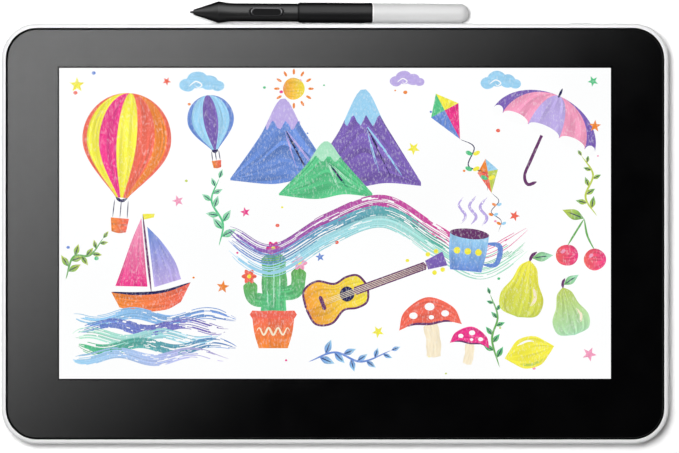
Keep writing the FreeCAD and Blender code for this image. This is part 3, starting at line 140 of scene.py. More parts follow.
def empty_tree(owner):
    """The cleared node tree of a material, a world or a lamp."""
    owner.use_nodes = True
    owner.node_tree.nodes.clear()
    return owner.node_tree


def between(tree, driver, low, high, start=0.3, end=0.7, way="LINEAR"):
    """A number that goes from low to high as the driver goes from start to end."""
    return add(tree, "MapRange", {"interpolation_type": way}, Value=driver, From_Min=start, From_Max=end,
               To_Min=low, To_Max=high).outputs[0]


def combined(tree, operation, first, second):
    """One number from two."""
    return add(tree, "Math", {"operation": operation}, _0=first, _1=second).outputs[0]


def mixed(tree, share, first, second):
    """A colour between two, by share."""
    mix = add(tree, "Mix", {"data_type": "RGBA"}, Factor=share)
    for socket, colour in (("_6", first), ("_7", second)):
        feed(mix, **{socket: colour if isinstance(colour, bpy.types.NodeSocket) else (*colour, 1.0)})
    return mix.outputs[2]


print("helpers ready")

# %% [markdown]
# ## Lamps
#
# A product is lit with a few large softboxes, each for one job. The key light hangs overhead at the upper
# left and makes the short soft shadow at the right and lower edges. The sheen box beside it is seen only
# as a reflection: its inner edge fades out, so the glass carries a soft grey sheen that dies away to the
# lower right. The rear box draws the long highlight on the pen, and the under box shines up through the
# clear back of the floor, for views of the underside. Four low strips graze the floor and light the
# tablet's upright sides, which the overhead lamps hardly reach. Each is given by its brightness, where 1
# is white, and not by its power.

# %% Softboxes
LAMP_HEIGHT = 1.3
SHEEN_TURN, SHEEN_REACH, SHEEN_FADE = math.radians(131.5), 0.18, 0.883
STRIP_AWAY, STRIP_UP, STRIP_SIZE = 1.4, 0.07, (1.6, 0.12)
STRIPS = {"front": ((0, -1), 2.0), "right": ((1, 0), 3.6), "rear": ((0, 1), 1.0), "left": ((-1, 0), 1.0)}


def softbox(name, place, size, brightness, aim=None, turn=0.0, fade=0.0, job=None):
    """A rectangular lamp that faces aim, or hangs level and is turned. Its power is brightness times pi times
    its area. Over the first share of its width, called fade, it grows from nothing. job keeps it to one
    kind of light, "glossy" or "diffuse"."""
    lamp = bpy.data.lights.new(name, "AREA")
    lamp.shape = "RECTANGLE"
    lamp.size, lamp.size_y = size
    lamp.energy = brightness * math.pi * size[0] * size[1]
    if fade:
        tree = empty_tree(lamp)
        along = add(tree, "SeparateXYZ", Vector=add(tree, "NewGeometry").outputs["Parametric"]).outputs[0]
        grown = add(tree, "Emission", Strength=between(tree, along, 0.0, 1.0, 0.0, fade, "SMOOTHSTEP"))
        add(tree, "OutputLight", Surface=grown.outputs[0])
    box = put(name, lamp)
    box.location = place
    box.rotation_euler = (0, 0, turn)
    if aim is not None:
        box.rotation_euler = (Vector(aim) - Vector(place)).to_track_quat("-Z", "Y").to_euler()
    box.visible_camera = False
    box.visible_glossy = job != "diffuse"
    box.visible_diffuse = job != "glossy"


sheen_place = (tablet_centre[0] + SHEEN_REACH * math.cos(SHEEN_TURN),
               tablet_centre[1] + SHEEN_REACH * math.sin(SHEEN_TURN), LAMP_HEIGHT)
softbox("sheen_box", sheen_place, (0.54, 0.9), 4.1, turn=SHEEN_TURN, fade=SHEEN_FADE, job="glossy")
softbox("key_box", (-0.19, 0.19, LAMP_HEIGHT), (0.42, 0.42), 33.0, aim=(0, 0, 0), job="diffuse")
softbox("rear_box", (0.0, 0.9, 0.79), (2.4, 1.45), 2.2, aim=(0, 0.11, 0), job="glossy")
softbox("under_box", (0.0, 0.0, -1.5), (0.5, 0.5), 14.0, aim=(0, 0, 0))
for side, (way, brightness) in STRIPS.items():
    place = (STRIP_AWAY * way[0], STRIP_AWAY * way[1], STRIP_UP)
    softbox(side + "_strip", place, STRIP_SIZE, brightness, aim=(0, 0, 0.01), job="diffuse")

# %% [markdown]
# ## The room
#
# The world gives a faint even fill. What the camera sees past the floor is plain white, told apart by the
# kind of ray. Gloss sees pale walls near the horizon and a dark ceiling overhead, as in a studio, which
# keeps black glass black from above and gives the pen's sides something to mirror.

# %% World
FILL = 0.07
WALLS, WALL_FADE = 0.24, (0.2, 0.75)

world = bpy.data.worlds.new("studio_room")
bpy.context.scene.world = world
tree = empty_tree(world)
rays = add(tree, "LightPath").outputs
height = add(tree, "SeparateXYZ", Vector=add(tree, "TexCoord").outputs["Generated"]).outputs["Z"]
walls = between(tree, height, WALLS, 0.0, *WALL_FADE)
mirrored = combined(tree, "MAXIMUM", rays["Is Glossy Ray"], rays["Is Transmission Ray"])
seen = add(tree, "Mix", {"data_type": "FLOAT"}, _0=mirrored, _2=FILL, _3=walls)
strength = add(tree, "Mix", {"data_type": "FLOAT"}, _0=rays["Is Camera Ray"], _2=seen.outputs[0], _3=1.0)
background = add(tree, "Background", Color=(*WHITE, 1), Strength=strength.outputs[0])
add(tree, "OutputWorld", Surface=background.outputs[0])
print("world ready")

# %% [markdown]
# ## The floor
#
# The tablet stands on a white sweep. Its paper takes the lamps' light, and so the soft shadow. For rays
# that are seen, the paper is a little paler than real paper can be, so that away from the shadow it comes
# out plain white, and far from the tablet it turns to plain white altogether. From below it is clear, and
# clear to the under box's light too, so that the underside can be looked at.

# %% Floor
FLOOR_HALF = 6.0
FLOOR_PAPER = (0.34, 0.34, 0.34)
FLOOR_SEEN = (1.05, 1.05, 1.05)
FLOOR_FADE = (0.26, 0.55)

corners = FLOOR_HALF * np.array([(-1, -1, 0), (1, -1, 0), (1, 1, 0), (-1, 1, 0)])
floor = new_piece("floor", corners, np.array([(0, 1, 2, 3)]), smooth=False)
paper = bpy.data.materials.new("floor_paper")
tree = empty_tree(paper)
rays = add(tree, "LightPath").outputs
seen = combined(tree, "MAXIMUM", rays["Is Camera Ray"], rays["Is Glossy Ray"])
seen = combined(tree, "MAXIMUM", seen, rays["Is Transmission Ray"])
lit = add(tree, "BsdfDiffuse", Color=mixed(tree, seen, FLOOR_PAPER, FLOOR_SEEN))
place = add(tree, "NewGeometry").outputs
reach = add(tree, "VectorMath", {"operation": "LENGTH"}, _0=place["Position"]).outputs["Value"]
plain = combined(tree, "MULTIPLY", seen, between(tree, reach, 0.0, 1.0, *FLOOR_FADE, "SMOOTHSTEP"))
sweep = add(tree, "MixShader", _0=plain, _1=lit.outputs[0], _2=add(tree, "Emission").outputs[0])
passed = combined(tree, "MAXIMUM", place["Backfacing"], rays["Is Shadow Ray"])
shown = add(tree, "MixShader", _0=passed, _1=sweep.outputs[0], _2=add(tree, "BsdfTransparent").outputs[0])
add(tree, "OutputMaterial", Surface=shown.outputs[0])
floor.data.materials.append(paper)
print("floor:", 2 * FLOOR_HALF, "m across")

# %% [markdown]
# ## Patterns for finishes
#
# A real surface is never quite even, so each finish mixes two tones by a noise pattern, and often gets a
# slight relief from one. The patterns are fixed to the piece's own place, so they travel with it when it
# moves, and they need no picture file.

# %% Pattern helpers
def principled(name, roughness, **fixed):
    """A material with one Principled shader, as (material, tree, shader)."""
    material = bpy.data.materials.new(name)
    tree = empty_tree(material)
    shader = add(tree, "BsdfPrincipled", Roughness=roughness, **fixed)
    add(tree, "OutputMaterial", Surface=shader.outputs[0])
    return material, tree, shader


def on_piece(tree):
    """The place on a piece."""
    return add(tree, "TexCoord").outputs["Object"]


def noise(tree, size, detail=2.0, stretch=None):
    """A noise pattern whose blotches are about size metres across."""
    place = on_piece(tree)
    if stretch:
        place = add(tree, "Mapping", Vector=place, Scale=stretch).outputs[0]
    return add(tree, "TexNoise", Vector=place, Scale=1 / size, Detail=detail).outputs["Fac"]


def tint(tree, shader, pattern, first, second, start=0.3, end=0.7):
    """The shader's colour, from first to second as the pattern goes from start to end."""
    feed(shader, Base_Color=mixed(tree, between(tree, pattern, 0, 1, start, end), first, second))


def roughen(tree, shader, height, depth):
    """A relief of depth metres on a shader, from a height pattern."""
    feed(shader, Normal=add(tree, "Bump", Height=height, Distance=depth, Strength=1.0).outputs[0])


print("patterns ready")

# %% [markdown]
# ## Moulded plastic
#
# Most of what shows is injection-moulded plastic. Its tool leaves a fine spark-eroded grain, a few tenths
# of a millimetre across, and the melt leaves a faint unevenness in gloss. So each plastic gets a grain
# relief of some micrometres, a slow drift in roughness, and a slight drift in colour.

# %% Moulded plastic
GLOSS_DRIFT = (0.92, 1.12)
EDGE_FADE = (0.12, 0.42)


def moulded(name, colour, roughness, grain=0.00035, relief=0.000012, drift=0.04, soft_edge=0.0):
    """Spark-grained plastic. drift is how far, as a share, the colour wanders to a darker tone. soft_edge is
    the gloss of a soft-touch coat, which drops where the surface turns away."""
    material, tree, shader = principled(name, roughness)
    slow = noise(tree, 0.03, 3.0)
    tint(tree, shader, slow, tuple(channel * (1 - drift) for channel in colour), colour)
    feed(shader, Roughness=between(tree, slow, *(share * roughness for share in GLOSS_DRIFT)))
    roughen(tree, shader, noise(tree, grain), relief)
    if soft_edge:
        facing = add(tree, "LayerWeight").outputs["Facing"]
        feed(shader, Specular_IOR_Level=between(tree, facing, soft_edge, 0.0, *EDGE_FADE))
    return material


def dress(material, *nodes):
    """The material on these CAD nodes, in every slot."""
    for node in nodes:
        mesh = frame["nodes"][node].data
        for index in range(len(mesh.materials)):
            mesh.materials[index] = material


dress(moulded("housing_white", (0.87, 0.87, 0.875), 0.42), "rear_housing")
dress(moulded("button_white", (0.80, 0.80, 0.81), 0.36, grain=0.0002), "power_button")
dress(moulded("leg_white", (0.81, 0.81, 0.82), 0.46, relief=0.00002), "left_leg", "right_leg")
dress(moulded("frame_grey", (0.16, 0.165, 0.17), 0.5), "mid_frame", "nib_holder", "pen_carrier")
print("plastics on the tablet")

# %% [markdown]
# The pen's grip is a soft-touch dark grey, whose gloss dies away at its edges. The barrel behind it is
# smoother and near black. The cap is a pale satin grey, like the tablet's rim, and the nib is a hard
# black plastic. They are the same kind of material with other numbers, so one function makes them all.

# %% Pen plastics
dress(moulded("grip_soft_grey", (0.009, 0.009, 0.0094), 0.36, grain=0.0002, relief=0.000008,
              soft_edge=0.62), "pen_grip_shell")
dress(moulded("barrel_black", (0.006, 0.006, 0.0065), 0.4, grain=0.0002, relief=0.000004,
              soft_edge=0.34), "pen_rear_shell")
dress(moulded("cap_white", (0.655, 0.655, 0.655), 0.36, grain=0.00025, relief=0.000006), "pen_end_cap")
dress(moulded("nib_black", (0.008, 0.008, 0.0085), 0.5, grain=0.0002, relief=0.00001),
      "pen_nib", "spare_nibs")
print("plastics on the pen")

# %% [markdown]
# ## The collar at the cap
#
# Where the black barrel meets the cap, a narrow polished collar catches the light as a bright line, and
# its colour, paler than the cap's, adds a painted highlight to it. It is a turned ring, so it is made as
# one: a small outline is carried round the pen's axis. The outline is a rounded box: across it goes as the
# root of |cos s| and deep as the root of |sin s|, each with its sign.
# The axis comes from the joint of the nib, which slides along it, and the place and radius come from the
# cap's own front edge, so the collar sits on the cap however the pen lies.

# %% Cap collar
COLLAR_WIDTH, COLLAR_PROUD, COLLAR_DEEP = 0.0009, 0.00004, 0.0006
COLLAR_TURNS, COLLAR_ROUND = 96, 24
FRONT_DEPTH = 0.00005


def turned_ring(name, centre, along, outline, turns):
    """A ring round an axis: point (s, t) = centre + a(s) along + r(s) (cos t side + sin t up), where the
    closed outline gives the pairs a, r, in the order that keeps the faces outward."""
    side = np.cross(along, (0.0, 0.0, 1.0))
    side /= np.linalg.norm(side)
    up = np.cross(side, along)
    t = np.linspace(0, 2 * math.pi, turns, endpoint=False)
    spokes = np.cos(t)[:, None] * side + np.sin(t)[:, None] * up
    grid = centre + outline[None, :, :1] * along + outline[None, :, 1:] * spokes[:, None]
    here = np.arange(turns * len(outline)).reshape(turns, len(outline))
    onward, beside = np.roll(here, -1, axis=0), np.roll(here, -1, axis=1)
    faces = np.stack([here, onward, np.roll(onward, -1, axis=1), beside], -1)
    return new_piece(name, grid.reshape(-1, 3), faces.reshape(-1, 4))


def mesh_points(node):
    """The corners of a CAD node's mesh, as rows of x, y, z."""
    mesh = frame["nodes"][node].data
    points = np.empty(3 * len(mesh.vertices), np.float32)
    mesh.vertices.foreach_get("co", points)
    return points.reshape(-1, 3).astype(float)


along = np.array(next(joint["axis"] for joint in frame["joints"] if joint["name"] == "nib_press"))
cap = mesh_points("pen_end_cap")
reach = cap @ along
front = cap[reach < reach.min() + FRONT_DEPTH]
middle = (front.min(axis=0) + front.max(axis=0)) / 2
radius = np.linalg.norm(front - middle, axis=1).max()
s = np.linspace(0, 2 * math.pi, COLLAR_ROUND, endpoint=False)
wide, deep = (np.sign(wave) * np.abs(wave) ** 0.5 for wave in (np.cos(s), np.sin(s)))
outline = np.stack([COLLAR_WIDTH / 2 * (1 + wide), radius + COLLAR_PROUD - COLLAR_DEEP / 2 * (1 - deep)], 1)
collar = turned_ring("cap_collar", middle, along, outline, COLLAR_TURNS)
# The collar's colour, paler than the cap's, is partly a painted highlight.
collar.data.materials.append(moulded("collar_white_highlight", (0.88, 0.88, 0.885), 0.25, 0.0002, 0.000002))
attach(collar, "pen")
print("collar radius:", round(1000 * radius, 3), "mm at x", round(1000 * middle[0], 2), "way", along.round(4))

# %% [markdown]
# ## The side switch
#
# The switch is a long rocker with a smooth raised rim and a dished, matte face for the fingertip. A second
# thin ridge runs round it, and at both ends a groove parts the two. A flat solid can't show how the ridges
# catch the light, so the switch is worked out as a surface: a sheet of heights over a pill outline, on top
# of the grip's round back, closed by a second sheet below.
#
# The heights only need the distances to three pill outlines: of the ridge, the rim and the dish. A ramp
# turns each distance into a soft step.

# %% Pill outlines
RIDGE_HALF, RIM_HALF, DISH_HALF = (0.00985, 0.0025), (0.0086, 0.0022), (0.00765, 0.00188)


def ramp(values, low, high):
    """0 up to low, 1 from high, and 3 f^2 - 2 f^3 between."""
    f = np.clip((values - low) / (high - low), 0, 1)
    return f * f * (3 - 2 * f)


def beyond(x, half):
    """How far points lie beyond the straight part of a pill outline with these half sizes."""
    return np.maximum(np.abs(x) - half[0] + half[1], 0)


def inside(x, y, half):
    """How far points lie inside such an outline: half width - sqrt(beyond^2 + y^2)."""
    return half[1] - np.sqrt(beyond(x, half) ** 2 + y**2)


print("switch:", 2000 * RIDGE_HALF[0], "x", 2000 * RIDGE_HALF[1], "mm")

# %% [markdown]
# A grid over the outline gives the rows of points. They lie closer together at its edge, where the
# surface bends most. The same distances also tell the finish where the gloss ends and the black darkens,
# which is painted shade: in the dish and the groove, and on the side towards the tablet, away from the
# rear lamp.

# %% Switch surface
RIM_TOP, RIM_FOOT, RIM_ROUND, SKIRT = 0.00036, -0.0001, 0.0003, 0.0009
GROOVE_FADE, GROOVE_DEEP = (0.00035, 0.0005), 0.0003
DISH_OFF, DISH_FADE, DISH_DEEP = 0.0002, (-0.00015, 0.0003), 0.00022
# The side towards the tablet, away from the rear lamp, is painted darker and matte: painted shade.
SHADED_SIDE_FADE, SHADED_SIDE_DULL = (0.0006, 0.0019), 0.85
SWITCH_CELLS = (160, 72)
MERGE = 1e-7


def pillow(name, place, back):
    """Two sheets over a pill outline that meet in a skirt. x = half length sin(u), y = half width(x) sin(v).
    The upper sheet is the round back plus a quarter circle up to the ridge's top, less the groove outside
    the rim, then it blends to a level dish. The lower sheet lies SKIRT below the back. place turns rows of
    x, y, z into points of the pen. Each corner keeps how matte it is and how much painted shade it gets."""
    u, v = (np.linspace(-math.pi / 2, math.pi / 2, count) for count in SWITCH_CELLS)
    x = RIDGE_HALF[0] * np.sin(u)[:, None] + 0 * v
    y = np.sqrt(np.maximum(RIDGE_HALF[1] ** 2 - beyond(x, RIDGE_HALF) ** 2, 0)) * np.sin(v)
    round_back = np.sqrt(back**2 - y**2)
    from_edge = inside(x, y, RIDGE_HALF)
    rise = np.clip(from_edge / RIM_ROUND, 0, 1)
    groove = ramp(from_edge, *GROOVE_FADE) * (1 - ramp(inside(x, y, RIM_HALF), 0, RIM_ROUND))
    rim = round_back + RIM_FOOT + (RIM_TOP - RIM_FOOT) * np.sqrt(rise * (2 - rise)) - GROOVE_DEEP * groove
    dish = ramp(inside(x, y + DISH_OFF, DISH_HALF), *DISH_FADE)
    # How matte and how darkened each corner is: the darkening in the dish, the groove and on the side towards
    # the tablet is painted shade.
    matte_and_shade = np.maximum(np.maximum(dish, groove), SHADED_SIDE_DULL * ramp(-y, *SHADED_SIDE_FADE))
    sheets = (rim * (1 - dish) + (back - DISH_DEEP) * dish, round_back - SKIRT)
    points = np.concatenate([place(np.stack([x, y, z], -1).reshape(-1, 3)) for z in sheets])
    cell = np.arange(x.size).reshape(x.shape)
    quads = np.stack([cell[:-1, :-1], cell[1:, :-1], cell[1:, 1:], cell[:-1, 1:]], -1).reshape(-1, 4)
    edge = np.concatenate([cell[:, 0], cell[-1, 1:], cell[::-1, -1][1:], cell[0, ::-1][1:-1]])
    after = np.roll(edge, -1)
    skirt = np.stack([edge, edge + x.size, after + x.size, after], -1)
    piece = new_piece(name, points, np.concatenate([quads, quads[:, ::-1] + x.size, skirt]))
    layer = piece.data.attributes.new("matte_and_shade", "FLOAT", "POINT")
    layer.data.foreach_set("value", np.concatenate([matte_and_shade.ravel(), 0 * matte_and_shade.ravel()]))
    closed = bmesh.new()
    closed.from_mesh(piece.data)
    bmesh.ops.remove_doubles(closed, verts=closed.verts, dist=MERGE)
    closed.to_mesh(piece.data)
    closed.free()
    return piece


print("switch points:", 2 * math.prod(SWITCH_CELLS))

# %% [markdown]
# The switch sits where the CAD's plain stem is, and stands on the grip. So its middle is the stem's,
# moved onto the pen's axis, and its back has the radius of the grip round that place. Its finish is a
# glossy black, painted paler on the rim as a painted highlight, that turns to a darker matte one in the
# dish, the groove and on the side towards the tablet, which is painted shade.

# %% Side switch
BACK_REACH = 0.004

grip = mesh_points("pen_grip_shell")
stem_low, stem_high = (np.array(corner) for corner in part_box("pen_side_switch"))
side = np.cross((0.0, 0.0, 1.0), along)
up = np.cross(along, side)
centre = middle + ((stem_low + stem_high) / 2 - middle) @ along * along
beside = grip[np.abs(grip[:, 0] - stem_high[0]) < BACK_REACH]
back = np.linalg.norm(np.cross(beside - middle, along), axis=1).max()
switch = pillow("side_switch", lambda rows: centre + rows @ np.array([along, side, up]), back)
material, tree, shader = principled("switch_satin", 0.3)
matte_and_shade = add(tree, "Attribute", {"attribute_name": "matte_and_shade"}).outputs["Fac"]
speckle = noise(tree, 0.0002)
face = mixed(tree, between(tree, speckle, 0, 1), (0.0085, 0.0085, 0.009), (0.0105, 0.0105, 0.011))
# Paler black on the rim is a painted highlight; the darker matte black in the dish, the groove and on the
# side towards the tablet is painted shade.
feed(shader, Base_Color=mixed(tree, matte_and_shade, (0.045, 0.045, 0.048), face),
     Roughness=between(tree, matte_and_shade, 0.2, 0.55, 0.0, 1.0),
     Specular_IOR_Level=between(tree, matte_and_shade, 1.0, 0.03, 0.0, 1.0))
roughen(tree, shader, speckle, 0.000004)
switch.data.materials.append(material)
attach(switch, "pen_switch")
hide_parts("pen_side_switch")
print("switch centre:", centre.round(5), "round back:", round(1000 * float(back), 3), "mm")

# %% [markdown]
# ## Rubber
#
# The feet and the ends of the legs are silicone rubber: matte, mid grey, with a fine powdery bloom that
# catches dust. A rougher grain and a touch of sheen give it that dry look.

# %% Rubber
material, tree, shader = principled("rubber_grey", 0.8, Sheen_Weight=0.15, Sheen_Roughness=0.4)
tint(tree, shader, noise(tree, 0.004, 5.0), (0.16, 0.163, 0.17), (0.22, 0.222, 0.23))
roughen(tree, shader, noise(tree, 0.0003, 3.0), 0.00003)
dress(material, "left_front_foot", "right_front_foot", "left_rear_foot", "right_rear_foot",
      "left_leg_pad", "right_leg_pad")
print("rubber ready")

# %% [markdown]
# ## Front glass and its printed border
#
# One sheet of glass covers the whole face. Behind it, a black border is screen-printed round a clear
# window. The camera should see the screen through the window sharply, so the glass is a clear shader with
# a mirror laid over it by Fresnel's law, weakened, as a coating does. The ground bevel and the sides of
# the sheet are blackened, so that no light leaks through the rim, and this black is painted shade too: it
# stands in for the dark that the bevel mirrors. They are the faces whose own direction is far from
# straight up or down.

# %% Glass
COATING = 0.2
GLASS_SEEN = (0.995, 0.997, 0.997, 1)
LEVEL_FACE = (0.90, 0.97)

material = bpy.data.materials.new("cover_glass")
tree = empty_tree(material)
surface = add(tree, "NewGeometry").outputs
fresnel = add(tree, "Fresnel", IOR=1.5, Normal=surface["True Normal"]).outputs[0]
coated = combined(tree, "MULTIPLY", fresnel, between(tree, surface["Backfacing"], COATING, 0.0, 0.0, 1.0))
smears = between(tree, noise(tree, 0.05, 3.0), 0.04, 0.09)
mirror = add(tree, "BsdfAnisotropic", Roughness=smears, Normal=surface["True Normal"])
clear = add(tree, "BsdfTransparent", Color=GLASS_SEEN)
pane = add(tree, "MixShader", _0=coated, _1=clear.outputs[0], _2=mirror.outputs[0])
upright = add(tree, "SeparateXYZ", Vector=surface["True Normal"]).outputs[2]
painted_dark_bevel = between(tree, combined(tree, "ABSOLUTE", upright, 0.0), 1.0, 0.0, *LEVEL_FACE)
# The near-black, barely glossy bevel and sides are painted shade: they stand in for the dark the bevel would
# mirror.
edge = add(tree, "BsdfPrincipled", Base_Color=(0.002, 0.002, 0.002, 1), Roughness=0.35,
           Specular_IOR_Level=0.02)
sheet = add(tree, "MixShader", _0=painted_dark_bevel, _1=pane.outputs[0], _2=edge.outputs[0])
add(tree, "OutputMaterial", Surface=sheet.outputs[0])
dress(material, "cover_glass")
print("glass ready")

# %% [markdown]
# The ink is a smooth black that carries most of the sheen, with the faint cloudiness that a printed coat
# has. Its gloss falls off in slanted views. Round the window it ends in a narrow dull lip, which shows as
# a hairline, darker than the sheen. How far a place lies past the window is the greater of how far it
# lies past the sides and past the ends.

# %% Printed border
WINDOW_HALF = (0.1475, 0.0831)
LIP_FADE = (0.0006, 0.0010)
INK_GLOSS, GLOSS_FADE = (0.5, 0.02), (0.03, 0.4)

material, tree, shader = principled("border_ink", 0.1)
cloud = noise(tree, 0.02, 4.0)
tint(tree, shader, cloud, (0.0012, 0.0012, 0.0014), (0.002, 0.002, 0.0022))
gloss = between(tree, add(tree, "LayerWeight").outputs["Facing"], *INK_GLOSS, *GLOSS_FADE)
window_low, window_high = (np.array(corner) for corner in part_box("lcd_cell"))
off_middle = add(tree, "VectorMath", {"operation": "SUBTRACT"}, _0=on_piece(tree),
                 _1=(window_low + window_high) / 2)
apart = add(tree, "VectorMath", {"operation": "ABSOLUTE"}, _0=off_middle.outputs[0])
place = add(tree, "SeparateXYZ", Vector=apart.outputs[0]).outputs
past_sides, past_ends = (combined(tree, "SUBTRACT", place[k], WINDOW_HALF[k]) for k in (0, 1))
lip = between(tree, combined(tree, "MAXIMUM", past_sides, past_ends), 0.0, 1.0, *LIP_FADE)
feed(shader, Roughness=between(tree, cloud, 0.085, 0.115),
     Specular_IOR_Level=combined(tree, "MULTIPLY", gloss, lip),
     Normal=add(tree, "NewGeometry").outputs["True Normal"])
dress(material, "border_print")
dress(moulded("gasket_black", (0.008, 0.008, 0.008), 0.7, relief=0.00003), "cover_gasket")
print("ink ready")

# %% [markdown]
# ## The lit screen
#
# A screen makes its own light, so its face is an emitter. White at full strength is exactly 1. The other
# layers behind it are a white diffusing film, a clear light guide with etched dots, and a folded steel
# tray. They are inside, and still get their own finish, because the model may be opened.

# %% Screen layers
material = bpy.data.materials.new("screen_face")
tree = empty_tree(material)
glow = mixed(tree, between(tree, noise(tree, 0.09, 1.0), 0, 1), (0.995, 0.996, 0.998), (1.02, 1.02, 1.02))
add(tree, "OutputMaterial", Surface=add(tree, "Emission", Color=glow).outputs[0])
dress(material, "lcd_cell")

dress(moulded("film_white", (0.78, 0.78, 0.76), 0.6, relief=0.000004), "optical_sheets", "reflector_sheet")

material, tree, shader = principled("guide_clear", 0.08, IOR=1.49, Transmission_Weight=0.85)
dots = add(tree, "TexVoronoi", Vector=on_piece(tree), Scale=700.0).outputs["Distance"]
tint(tree, shader, dots, (0.85, 0.87, 0.87), (0.72, 0.75, 0.76), 0.2, 0.35)
dress(material, "light_guide")
print("screen layers ready")

# %% [markdown]
# ## Metals
#
# The tray and shield are rolled steel, whose polish runs one way: the noise is stretched along the
# sheet's length. Screws and pins are turned, the port's shell is drawn steel plated with nickel, and
# copper wire is wound round the pen's ferrite core.

# %% Metals
def brushed(name, colour, roughness, stretch=(0.04, 1.0, 1.0), size=0.0006, relief=0.000003):
    """Metal with fine lines along the axis that stretch shortens."""
    material, tree, shader = principled(name, roughness, Metallic=1.0)
    lines = noise(tree, size, 4.0, stretch)
    tint(tree, shader, lines, tuple(0.82 * channel for channel in colour), colour)
    feed(shader, Roughness=between(tree, lines, 0.8 * roughness, 1.3 * roughness))
    roughen(tree, shader, lines, relief)
    return material


dress(brushed("tray_steel", (0.62, 0.63, 0.64), 0.32), "backlight_tray", "shield_plate")
dress(brushed("pin_steel", (0.58, 0.57, 0.55), 0.26, stretch=(1, 1, 1), size=0.0003), "housing_screws",
      "board_screws", "left_hinge_pin", "right_hinge_pin", "nib_puller")
dress(brushed("port_steel", (0.66, 0.65, 0.62), 0.22, stretch=(1, 0.05, 1), size=0.0003), "usb_c_port")
dress(brushed("copper_wire", (0.72, 0.34, 0.18), 0.3, stretch=(1, 0.02, 0.02), size=0.0002), "pen_coil")
print("metals ready")

# %% [markdown]
# ## Boards and small parts
#
# A circuit board is green lacquer over copper. Where the copper runs, the lacquer looks lighter, and a
# cell pattern with straight edges stands in for those areas. Chips are black epoxy with a laser-dulled
# top, ferrite is a dense dark ceramic, and the flat cables are amber film with darker lines in them.

# %% Boards and chips
material, tree, shader = principled("board_green", 0.32, Coat_Weight=0.3)
cells = add(tree, "TexVoronoi", {"distance": "CHEBYCHEV"}, Vector=on_piece(tree), Scale=260.0)
tracks = between(tree, cells.outputs["Distance"], 0, 1, 0.42, 0.46)
feed(shader, Base_Color=mixed(tree, tracks, (0.012, 0.085, 0.032), (0.03, 0.16, 0.06)))
roughen(tree, shader, tracks, 0.00002)
dress(material, "sensor_board", "driver_board", "main_board", "led_strip", "pen_circuit_board")

dress(moulded("chip_black", (0.015, 0.015, 0.016), 0.5, relief=0.00002), "board_chips", "power_switch",
      "pen_pressure_sensor", "pen_switch_contact")
dress(moulded("ferrite", (0.03, 0.028, 0.027), 0.55, grain=0.0003, relief=0.00002), "pen_ferrite")

material, tree, shader = principled("flex_amber", 0.35, Coat_Weight=0.2)
wave = add(tree, "TexWave", {"bands_direction": "X"}, Vector=on_piece(tree), Scale=260.0).outputs["Fac"]
tint(tree, shader, wave, (0.42, 0.17, 0.03), (0.26, 0.09, 0.02), 0.45, 0.55)
dress(material, "lcd_flex", "display_cable", "sensor_cable")

material, tree, shader = principled("lens_clear", 0.18, IOR=1.49, Transmission_Weight=0.9)
tint(tree, shader, noise(tree, 0.002), (0.86, 0.9, 0.92), (0.8, 0.85, 0.88))
dress(material, "status_lens")
print("boards and small parts ready")

# %% [markdown]
# ## The picture on the screen
#
# The screen shows a sheet of loose, colourful drawings on white, as if made with the pen. They are drawn
# here as shapes, so they stay sharp at any size. Positions on the sheet are in millimetres from the
# screen's middle, and each layer of paint lies a few hundredths of a millimetre above the one below,
# between the screen's face and the glass.

# %% Sheet and inks
SHEET_HALF = (147.45, 83.05)
LEVEL_STEP = 0.000018
ABOVE_SCREEN = 0.00003
INKS = {
    "periwinkle": (0.147, 0.270, 0.672), "purple": (0.205, 0.125, 0.462), "lilac": (0.520, 0.420, 0.800),
    "sky": (0.347, 0.660, 0.904), "teal": (0.107, 0.565, 0.252), "mint": (0.420, 0.800, 0.560),
    "leaf": (0.159, 0.434, 0.114), "lime": (0.552, 0.658, 0.107), "yellow": (0.930, 0.855, 0.069),
    "coral": (0.887, 0.150, 0.100), "magenta": (0.838, 0.042, 0.262), "pink": (0.913, 0.347, 0.527),
    "orange": (0.887, 0.254, 0.042), "navy": (0.024, 0.023, 0.102), "plum": (0.147, 0.042, 0.147),
    "paper": WHITE, "cream": (0.960, 0.840, 0.620),
}
print("sheet:", 2 * SHEET_HALF[0], "x", 2 * SHEET_HALF[1], "mm, inks:", len(INKS))

# %% [markdown]
# ### A bristly coat of paint
#
# A brush leaves parallel streaks, because each bristle carries a little more or less paint, and some
# bristles run dry before the stroke ends. One function does this for every shape: it rules the area
# between two curves into long thin strips, gives each strip its own shade, and drops cells where the
# bristle has run dry. All marks are kept in a list, and become one mesh at the end. How many marks are
# there already also seeds each new one, so no two look alike.

# %% Paint
marks = []


def flow(points, count=40):
    """A smooth curve through points, evenly spaced. Between b and c, with a before and d after, it is the
    Catmull-Rom cubic b + f/2 (c - a) + f^2/2 (2a - 5b + 4c - d) + f^3/2 (3b - 3c + d - a)."""
    p = np.asarray(points, float)
    p = np.vstack([2 * p[0] - p[1], p, 2 * p[-1] - p[-2]])
    run = np.linspace(0, len(p) - 3 - 1e-9, 8 * count)
    index = run.astype(int)
    f = (run - index)[:, None]
    a, b, c, d = (p[index + step] for step in range(4))
    fine = b + f / 2 * ((c - a) + f * ((2 * a - 5 * b + 4 * c - d) + f * (3 * (b - c) + d - a)))
    length = np.concatenate([[0], np.cumsum(np.linalg.norm(np.diff(fine, axis=0), axis=1))])
    even = np.linspace(0, length[-1], count)
    return np.stack([np.interp(even, length, fine[:, k]) for k in (0, 1)], 1)


